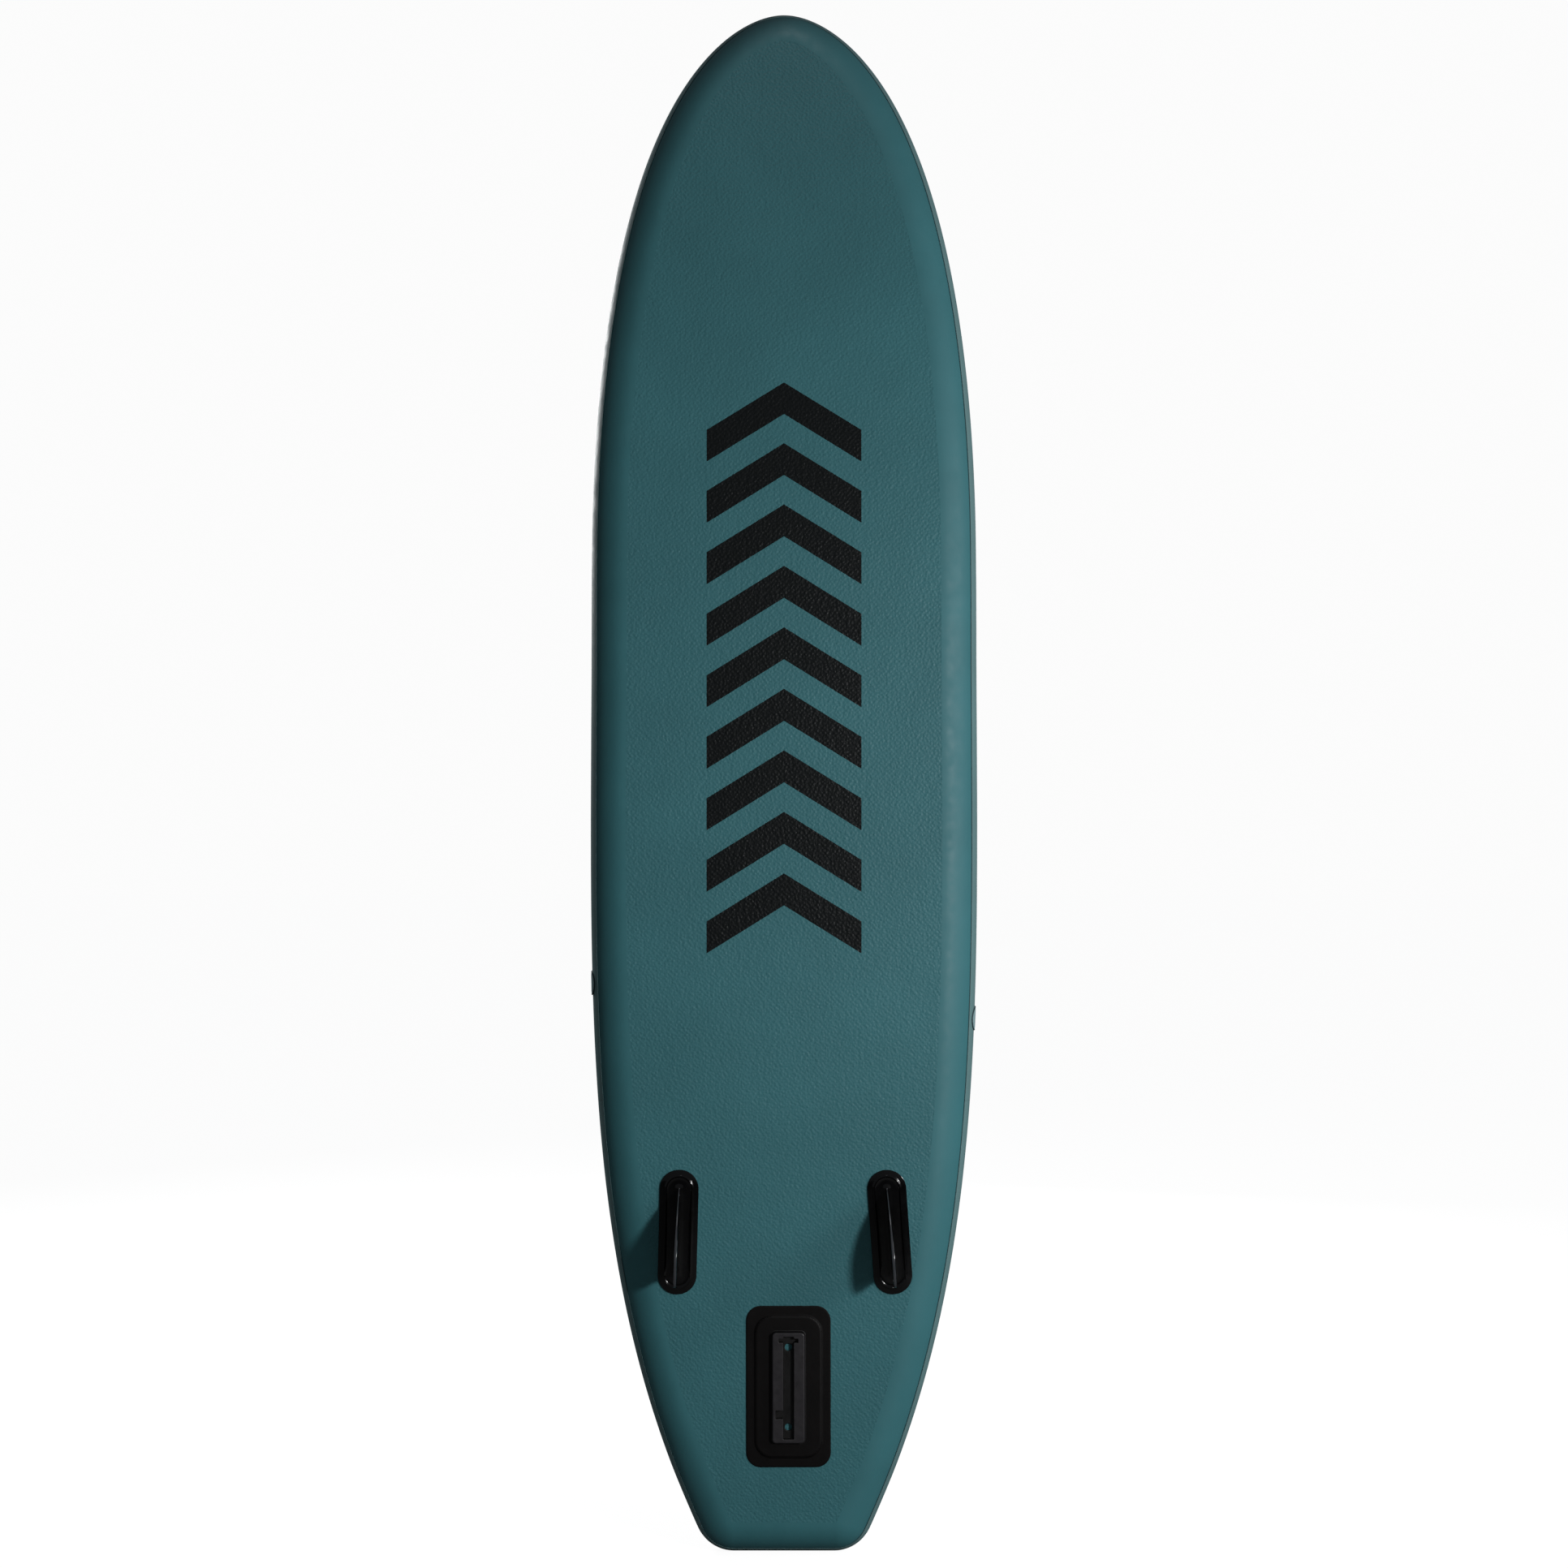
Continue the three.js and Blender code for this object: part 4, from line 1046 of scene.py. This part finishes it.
RING = {"rod": 2.5, "half_width": 18, "height": 21, "strap": 1.3, "strap_width": 25, "tail": 30}
LOOP_INNER = RING["rod"] + 0.6
BAR_HEIGHT = LOOP_INNER + RING["strap"] + 0.2
DISC_TOP = SHEET / MM + GAP
RAIL_BASE = {
    "half_width": 25, "hull_reach": 75, "deck_reach": 32, "top": 2.4, "tail": 14, "angle": math.radians(30),
}
BUNGEE = ("front_left", "rear_right", "front_right", "rear_left")  # in the order the cord is threaded
LEAVES_HIGH = ("front_left", "rear_left")  # rings the cord leaves on their upper side
BUNGEE_TILT = math.radians(38)


def joint_place(name):
    """Where a joint is and which way its axis points."""
    joint = next(j for j in frame["joints"] if j["name"] == name)
    return Vector(joint["pos_m"]), Vector(joint["axis"])


def deck_frame(origin, forward):
    slope = 2 * ROCKER_RISE * max(0, origin.z - ROCKER_START)
    out = Vector((0, 1, -slope)).normalized()
    return local_frame(origin, out, forward)


def swinging_frame(name, top):
    """Local frame of a ring set from its joint: its origin lies under the bar, on the board's surface."""
    bar, axis = joint_place(f"{name}_ring_swing")
    if name in ("tow", "leash"):
        out = deck_frame(bar, NOSEWARD).to_3x3() @ UP
        forward = NOSEWARD if name == "tow" else -NOSEWARD
    else:
        side = Vector((math.copysign(1, bar.x), 0, 0))
        side = (side - axis * side.dot(axis)).normalized()
        tilt = RAIL_BASE["angle"]
        out = side * math.cos(tilt) + UP * math.sin(tilt)
        forward = UP * math.cos(tilt) - side * math.sin(tilt)
    out = out.normalized()
    origin = bar - out * (top + GAP + BAR_HEIGHT) * MM
    return local_frame(origin, out, forward)


def bungee_frames():
    """Local frames of the four bungee sets, each aimed at the middle of the four."""
    places = {name: centre(f"bungee_{name}_base") for name in BUNGEE}
    middle = sum(places.values(), Vector()) / len(places)
    frames = {}
    for name, place in places.items():
        clear = 0.25 * MM  # keeps the flat disc off the curved deck
        origin = Vector((place.x, DECK + rocker(place.z) + clear, place.z))
        aim = middle - place
        frames[name] = deck_frame(origin, Vector((aim.x, 0, aim.z)))
    return frames


def ring_path(bar_height, tilt=0.0):
    """The rod's middle line: a straight bar, small corners and a round far end."""
    half, corner = RING["half_width"], RING["height"] - RING["half_width"]
    flat = [
        *arc((half - corner, corner), corner, -90, 0, 5),
        *arc((0, corner), half, 0, 180, 24)[1:-1],
        *arc((corner - half, corner), corner, 180, 270, 5),
    ]
    return [Vector((x, bar_height + z * math.sin(tilt), z * math.cos(tilt))) for x, z in flat]


def loop_path(top, tail):
    """Middle line of the webbing: along the base, round the bar and back on itself."""
    lower, upper = RING["strap"] / 2, RING["strap"] * 1.5
    radius = LOOP_INNER + RING["strap"] / 2
    wrap = [(radius * math.cos(a), BAR_HEIGHT + radius * math.sin(a))
            for a in (math.radians(-80 + 25 * i) for i in range(11))]
    line = [
        (-tail, lower), (-tail * 0.6, lower), (-tail * 0.25, lower), *wrap,
        (-6.5, upper + 0.6), (-9.5, upper), (-max(tail * 0.6, 11), upper), (-tail, upper),
    ]
    return [Vector((0, top + y, z)) for z, y in line]


def add_ring_set(name, matrix, top, body, tilt=0.0, tail=RING["tail"]):
    """Webbing loop and steel ring above a base of the given height."""
    path, section = loop_path(top + GAP, tail), strap_section(RING["strap_width"], RING["strap"])
    add_swept(f"{name}_loop", "webbing", path, section, "webbing", matrix, side=Vector((1, 0, 0)))
    path, section = ring_path(top + GAP + BAR_HEIGHT, tilt), rod_section(RING["rod"])
    add_swept(f"{name}_ring", "rod", path, section, "steel", matrix, closed=True, body=body)


def add_fabric_base(name, matrix, radius):
    """Glued fabric disc with a rounded rim."""
    profile = [(0, 0), (radius, 0), (radius, 0.7), (radius - 0.5, 1.15), (radius - 2, 1.2), (0, 1.2)]
    lifted = [(r, GAP + h) for r, h in profile]
    add_turned(f"{name}_base", "patch", lifted, "deck_pvc", matrix, steps=56)


def add_rail_base(name, matrix):
    """A pad with round ends, bent round the rail, with a soft rim and a flat land under the webbing."""
    half_width, top, tail = RAIL_BASE["half_width"], RAIL_BASE["top"], RAIL_BASE["tail"]
    surface = RAIL_RADIUS / MM + 2 * GAP + SHEET / MM
    half_length = (RAIL_BASE["hull_reach"] + RAIL_BASE["deck_reach"]) / 2
    rim_radius, land_border = 1.6, 5
    groove_depth, groove_place, groove_width = 0.7, 4.2, 1.1
    shares = [math.sin(math.pi / 2 * i / 12) for i in range(-12, 13)]
    slices, cloth = [], []
    for i in range(-40, 41):
        from_middle = half_length * math.sin(math.pi / 2 * i / 40)
        along = from_middle + half_length - RAIL_BASE["hull_reach"]
        into_end = max(0.0, abs(from_middle) - half_length + half_width)
        side = max(0.3, math.sqrt(half_width ** 2 - into_end ** 2))
        angle = along / surface
        upper = []
        for share in shares:
            from_rim = half_width - math.hypot(share * side, into_end)
            rise = math.sqrt(1 - (1 - min(1.0, max(0.0, from_rim / rim_radius))) ** 2)
            groove = groove_depth * math.exp(-((from_rim - groove_place) / groove_width) ** 2)
            radius = surface + (top - GAP) * rise - groove
            land = smoothstep((tail + land_border - abs(along)) / 4)
            land *= smoothstep((half_width - land_border - abs(share * side)) / 3)
            height = GAP - surface + radius * math.cos(angle)
            upper.append((share * side, height + (top - height) * land, radius * math.sin(angle)))
            # from_rim places the dark line of painted shade round the pad's rim
            cloth.append((from_rim * MM, along * MM))
        cloth += [(0, along * MM)] * 2
        foot_y, foot_z = GAP - surface + surface * math.cos(angle), surface * math.sin(angle)
        slices.append([*upper, (side, foot_y, foot_z), (-side, foot_y, foot_z)])
    vertices, faces = loft(slices, cap_ends=True)
    add_piece(
        f"{name}_base", "pad", vertices, faces, "rail_pvc", look="rail_moulding", matrix=matrix, cloth=cloth,
    )


def bungee_path(frames):
    """The cord's middle line: round the far end of each ring, from above to below or the other way."""
    reach = RING["rod"] + CORD_RADIUS + 0.7
    bar = DISC_TOP + GAP + BAR_HEIGHT
    end_y = bar + RING["height"] * math.sin(BUNGEE_TILT)
    end_z = RING["height"] * math.cos(BUNGEE_TILT)
    path = []
    for name in BUNGEE:
        bend = [Vector((0, y, z)) for z, y in arc((end_z, end_y), reach, 67.5, 292.5, 12)]
        if name in LEAVES_HIGH:
            bend.reverse()
        path += [frames[name] @ point / MM for point in bend]
    return path


def build_deck_hardware():
    frames = bungee_frames()
    for name, matrix in frames.items():
        add_fabric_base(f"bungee_{name}", matrix, 34)
        add_ring_set(f"bungee_{name}", matrix, DISC_TOP, "board", BUNGEE_TILT)
    path, section = bungee_path(frames), rod_section(CORD_RADIUS)
    add_swept("bungee_cord", "braid", path, section, "shock_cord", BOARD_FRAME, closed=True)
    for name, radius in (("tow", 40), ("leash", 38)):
        matrix = swinging_frame(name, DISC_TOP)
        add_fabric_base(name, matrix, radius)
        add_ring_set(name, matrix, DISC_TOP, f"{name}_ring_body")
    for name in ("rail_left", "rail_right"):
        matrix = swinging_frame(name, RAIL_BASE["top"])
        add_rail_base(name, matrix)
        add_ring_set(name, matrix, RAIL_BASE["top"], f"{name}_ring_body", tail=RAIL_BASE["tail"])


# ---------- carry handle ----------

HANDLE_AT = centre("handle_grip")
GRIP_HALF = (high("handle_grip") - low("handle_grip")) / 2
STRAP_WIDTH = 38
STRAP_THICKNESS = 2.2
TAB_TOP = high("handle_tab_front").y / MM


def handle_path(sign):
    """From the middle of the grip down to the tab, in millimetres."""
    grip, tab = HANDLE_AT.y / MM, TAB_TOP - STRAP_THICKNESS / 2 - 0.1
    flat = GRIP_HALF.z / MM + 4
    foot = low("handle_tab_front").z / MM - HANDLE_AT.z / MM
    path = []
    for i in range(31):
        along = (foot + 7) * i / 30
        height = grip + (tab - grip) * smoothstep((along - flat) / (foot - flat))
        path.append(Vector((0, height, HANDLE_AT.z / MM + sign * along)))
    return path


def settle_as_cloth(name, vertices, faces, pins, pressure, frames=36):
    """Let a closed skin swell and crease as cloth; gives back its corners. Works ten times too large."""
    scale = 10 * MM
    mesh = bpy.data.meshes.new(name)
    mesh.from_pydata([tuple(Vector(v) * scale) for v in vertices], [], faces)
    skin = bpy.data.objects.new(name, mesh)
    scene.collection.objects.link(skin)
    group = skin.vertex_groups.new(name="pins")
    for index, weight in pins.items():
        group.add([index], weight, "REPLACE")
    cloth = skin.modifiers.new("cloth", "CLOTH")
    settings = cloth.settings
    settings.quality = 6
    settings.mass = 0.3
    settings.tension_stiffness = 20
    settings.compression_stiffness = 20
    settings.bending_stiffness = 0.6
    settings.shrink_min = -0.07
    settings.use_pressure = True
    settings.uniform_pressure_force = pressure
    settings.vertex_group_mass = "pins"
    settings.effector_weights.gravity = 0
    cloth.collision_settings.use_collision = False
    for number in range(1, frames + 1):
        scene.frame_set(number)
    settled = skin.evaluated_get(bpy.context.evaluated_depsgraph_get())
    points = [v.co / scale for v in settled.data.vertices]
    bpy.data.objects.remove(skin)
    scene.frame_set(1)
    return points


def build_grip():
    """Padded sleeve round the strap: gathered hems at both ends and a closing seam underneath."""
    half_x, half_y, half_z = (GRIP_HALF / MM) * 0.93  # smaller at first, because it swells
    hem_x, hem_y, hem_length = STRAP_WIDTH / 2 + 0.5, 4, 9
    squareness = 2.5
    rows, around = 48, 56
    rings = []
    for i in range(rows + 1):
        along = half_z * (2 * i / rows - 1)
        end = smoothstep((half_z - abs(along)) / hem_length)
        ring = []
        for j in range(around):
            angle = TAU * j / around
            bulk = abs(math.cos(angle)) ** squareness + abs(math.sin(angle)) ** squareness
            bulk **= -1 / squareness
            seam = 1 - 0.1 * math.exp(-((angle - TAU * 0.75) / 0.16) ** 2)
            x = (hem_x + (half_x - hem_x) * end) * bulk * math.cos(angle)
            y = (hem_y + (half_y - hem_y) * end) * bulk * math.sin(angle) * seam
            ring.append((x, y, along))
        rings.append(ring)
    vertices, faces = loft(rings, cap_ends=True)
    pins = {}
    for i in range(rows + 1):
        for j in range(around):
            if i in (0, 1, rows - 1, rows):
                pins[i * around + j] = 1.0
            elif j == round(around * 0.75):
                pins[i * around + j] = 0.85
    vertices = settle_as_cloth("grip_sleeve", vertices, faces, pins, pressure=1.2)
    limit = GRIP_HALF / MM
    for axis in range(3):
        reach = max(abs(v[axis]) for v in vertices)
        if reach > limit[axis]:
            vertices = [
                [c * limit[axis] / reach if k == axis else c for k, c in enumerate(v)] for v in vertices
            ]
    cloth = [(half_x * MM * TAU * (k % around) / around, v[2] * MM) for k, v in enumerate(vertices)]
    matrix = local_frame(HANDLE_AT, UP, NOSEWARD)
    add_piece(
        "handle_grip", "sleeve", vertices, faces, "neoprene", body="handle", matrix=matrix, cloth=cloth,
    )


def build_handle():
    section = strap_section(STRAP_WIDTH, STRAP_THICKNESS)
    for end, sign in (("rear", -1), ("front", 1)):
        path = handle_path(sign)
        strap = add_swept(
            "handle_strap", end, path, section, "webbing", BOARD_FRAME, side=Vector((1, 0, 0)), body=None,
        )
        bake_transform(strap)
        node = f"handle_tab_{end}"
        size = (high(node) - low(node)) / MM
        middle = centre(node)
        middle.y = low(node).y
        profile = [(0, 0), (0, size.y - 0.8), (0.4, size.y - 0.2), (1.4, size.y)]
        outline, matrix = rectangle(size.x, size.z, 10), local_frame(middle, UP, NOSEWARD)
        add_plate(node, "patch", outline, profile, "deck_pvc", matrix)
    build_grip()


# ---------- inflation valve ----------

def cap_rim(radius, height, angle):
    """Finger ribs round the cap and flats on its knob."""
    rib_count, rib_depth = 28, 0.7
    flat_count, flat_share = 6, 0.1
    if radius > 28 and height < 12.5:
        return radius - rib_depth * (0.5 + 0.5 * math.cos(rib_count * angle))
    if radius < 9 and height > 14:
        return radius * (1 - flat_share * (0.5 + 0.5 * math.cos(flat_count * angle)))
    return radius


def build_valve_body(matrix):
    """Flanged tube with its sealing lip, and the three-armed hub that guides the stem."""
    shell = rounded([
        (15, -38), (VALVE_TUBE, -38), (VALVE_TUBE, 1.6), (34, 1.6), (34, 5), (31, 7), (20, 7), (20, -35),
        (15, -35),
    ], 0.7)
    add_turned("valve_body", "shell", shell, "valve_plastic", matrix, closed=True)
    hub = rounded([(3.4, -31), (6, -31), (6, -26), (3.4, -26)], 0.4)
    add_turned("valve_body", "hub", hub, "valve_plastic", matrix, steps=24, closed=True, replaces=())
    section = [(x, y, 0) for x, y in rounded([(2, -1.5), (2, 1.5), (-2, 1.5), (-2, -1.5)], 0.6)]
    for i in range(3):
        way = Vector((math.cos(TAU * i / 3), 0, -math.sin(TAU * i / 3)))
        path = [way * 5.5 - UP * 28.5, way * 20.3 - UP * 28.5]
        word, side = f"arm_{i + 1}", way.cross(UP)
        add_swept("valve_body", word, path, section, "valve_plastic", matrix, side=side, replaces=())


def build_valve_plunger(matrix):
    stem = rounded([
        (0, -46), (7, -46), (7, -43.2), (2.8, -43.2), (2.8, -8.7), (8.5, -8.7), (8.5, -5), (7, -3.5),
        (0, -3.5),
    ], 0.5, closed=False)
    add_turned("valve_stem", "pin", stem, "valve_plastic", matrix, steps=32, body="valve_pin")
    seal = rounded([(3.2, -42.8), (17, -42.8), (19, -38.4), (3.2, -38.4)], 0.5)
    add_turned("valve_seal", "disc", seal, "rubber", matrix, closed=True, body="valve_plug")
    turns, bottom, top, radius, wire = 4, -25.1, -9.6, 4.9, 0.6
    path = []
    for i in range(turns * 20 + 1):
        share = i / (turns * 20)
        angle = TAU * turns * share
        height = bottom + (top - bottom) * share
        path.append(Vector((radius * math.cos(angle), height, radius * math.sin(angle))))
    spring = add_swept("valve_spring", "coil", path, rod_section(wire, 8), "steel", matrix)
    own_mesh(spring)


def build_valve_cap(matrix):
    cap = rounded([
        (0, 1), (17.8, 1), (17.8, 3), (16.6, 3), (16.6, 5.2), (17.8, 5.2), (17.8, 7.4), (31, 7.4),
        (31, 11.5), (29, 13.5), (8, 13.5), (8, 19), (6, 20), (0, 20),
    ], 0.8, closed=False)
    add_turned("valve_cap", "lid", cap, "valve_plastic", matrix, steps=168, rim=cap_rim, body="cap")
    ring = arc((18.25, 4.1), 1.0, 0, 345, 23)
    add_turned(
        "valve_cap", "o_ring", ring, "rubber", matrix, closed=True, body="cap", replaces=["valve_cap_seal"],
    )


def build_valve_tether(matrix):
    """Rubber collar round the flange, a loop round the knob and the strap between them."""
    tether = Skin()
    for profile, count in (
        (rounded([(34.5, 2), (36.5, 2), (36.5, 5), (34.5, 5)], 0.5), 64),
        (rounded([(8.5, 15), (11, 15), (11, 17), (8.5, 17)], 0.5), 40),
    ):
        rings = [[(r * x, h, r * z) for x, z in circle(1, count)] for r, h in profile]
        tether.join(*loft(rings, round_loft=True))
    line = [Vector((x, y)) for x, y in ((10, 16), (22, 17.2), (33, 16.6), (41.5, 13.2), (41, 7), (35.6, 3.6))]
    path = [Vector((x, y, 0)) for x, y in catmull_rom(line, 8)]
    rings, _ = sweep(path, strap_section(6, 1.6), side=Vector((0, 0, 1)))
    tether.join(*loft(rings, round_ring=False, cap_ends=True))
    piece = add_piece(
        "valve_tether", "strap", tether.vertices, tether.faces, "rubber", body=None, matrix=matrix,
    )
    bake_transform(piece)


def build_valve():
    matrix = valve_frame()
    build_valve_body(matrix)
    build_valve_plunger(matrix)
    build_valve_cap(matrix)
    build_valve_tether(matrix)
    gasket = rounded([(25.7, 0.3), (33, 0.3), (33, 1.3), (25.7, 1.3)], 0.3)
    nut = rounded([(24.8, -11.7), (32, -11.7), (32, -6.7), (35, -6.7), (35, -3.7), (24.8, -3.7)], 0.6)
    for node, profile, slot in (("valve_gasket", gasket, "rubber"), ("valve_nut", nut, "valve_plastic")):
        add_turned(node, "ring", profile, slot, matrix, closed=True)


build_hull()
build_side_fin("left")
build_side_fin("right")
build_fin_box()
build_pads()
build_kick_pad()
build_deck_hardware()
build_handle()
build_valve()

# the woven core lies hidden inside the hull and is shown as the CAD part
core = frame["nodes"]["drop_stitch_core"]
core.data.materials.clear()
core.data.materials.append(MATERIALS["base_cloth"])


# ---------- floor, light and camera ----------

def add_floor():
    mesh = bpy.data.meshes.new("floor")
    reach = 30.0
    square = [(-reach, -reach, 0), (reach, -reach, 0), (reach, reach, 0), (-reach, reach, 0)]
    mesh.from_pydata(square, [], [(0, 1, 2, 3)])
    floor = bpy.data.objects.new("floor", mesh)
    floor.location.z = -2 * MM
    scene.collection.objects.link(floor)
    look = Look("floor_paint", roughness=0.9, specular=0.0)
    look.set("Base Color", (0.16, 0.16, 0.16, 1))
    # a pale glow that only the camera sees keeps the far floor as light as the background
    seen = look.add("ShaderNodeLightPath").outputs["Is Camera Ray"]
    look.set("Emission Color", (1, 1, 1, 1))
    look.set("Emission Strength", look.times(seen, 0.95))
    mesh.materials.append(look.material)


def add_area_light(name, place, aim, size, power, only_shine=False):
    """An area light; with only_shine it shows in reflections and doesn't light matte surfaces."""
    data = bpy.data.lights.new(name, "AREA")
    data.shape = "RECTANGLE"
    data.size, data.size_y = size
    data.energy = power
    light = bpy.data.objects.new(name, data)
    light.location = place
    light.rotation_euler = (Vector(aim) - Vector(place)).to_track_quat("-Z", "Y").to_euler()
    light.visible_diffuse = not only_shine
    scene.collection.objects.link(light)


def add_world():
    """White to the camera, dim to everything else, so that dark pieces keep their contrast."""
    world = bpy.data.worlds.new("studio")
    world.use_nodes = True
    nodes, links = world.node_tree.nodes, world.node_tree.links
    dim = nodes["Background"]
    dim.inputs["Color"].default_value = (0.9, 0.95, 1.0, 1)
    dim.inputs["Strength"].default_value = 0.12
    white = nodes.new("ShaderNodeBackground")
    white.inputs["Color"].default_value = (1, 1, 1, 1)
    white.inputs["Strength"].default_value = 0.97
    path = nodes.new("ShaderNodeLightPath")
    mix = nodes.new("ShaderNodeMixShader")
    links.new(path.outputs["Is Camera Ray"], mix.inputs[0])
    links.new(dim.outputs[0], mix.inputs[1])
    links.new(white.outputs[0], mix.inputs[2])
    links.new(mix.outputs[0], nodes["World Output"].inputs["Surface"])
    scene.world = world


CAMERA_DISTANCE = 5.0  # metres in front of the hull
CAMERA_SHARE = 0.4925  # share of the board's length at which the camera stands
LENS = 56.5  # millimetres


def add_camera():
    """Square on to the hull."""
    data = bpy.data.cameras.new("camera")
    data.sensor_width = 36
    data.lens = LENS
    camera = bpy.data.objects.new("camera", data)
    camera.location = (0, HULL_LEVEL - CAMERA_DISTANCE, CAMERA_SHARE * LENGTH)
    camera.rotation_euler = (math.pi / 2, 0, 0)
    scene.collection.objects.link(camera)
    scene.camera = camera


add_floor()
add_world()
add_area_light("key", (2.1, -3.0, 1.5), (0, 0, 0.95), (0.35, 0.35), 67)
add_area_light("side_fill", (3.4, -1.6, 2.2), (0, 0, 1.9), (0.8, 1.4), 35)
add_area_light("overhead", (0.2, -0.9, 4.9), (0, -0.2, 0.6), (0.5, 1.1), 8, only_shine=True)
add_area_light("back_key", (-2.5, 3.6, 3.2), (0, 0, 1.5), (1.5, 1.5), 80)
add_area_light("back_fill", (1.2, 4.4, 1.8), (0, 0, 1.4), (2.0, 2.0), 22)
add_camera()
scene.view_settings.view_transform = "Standard"
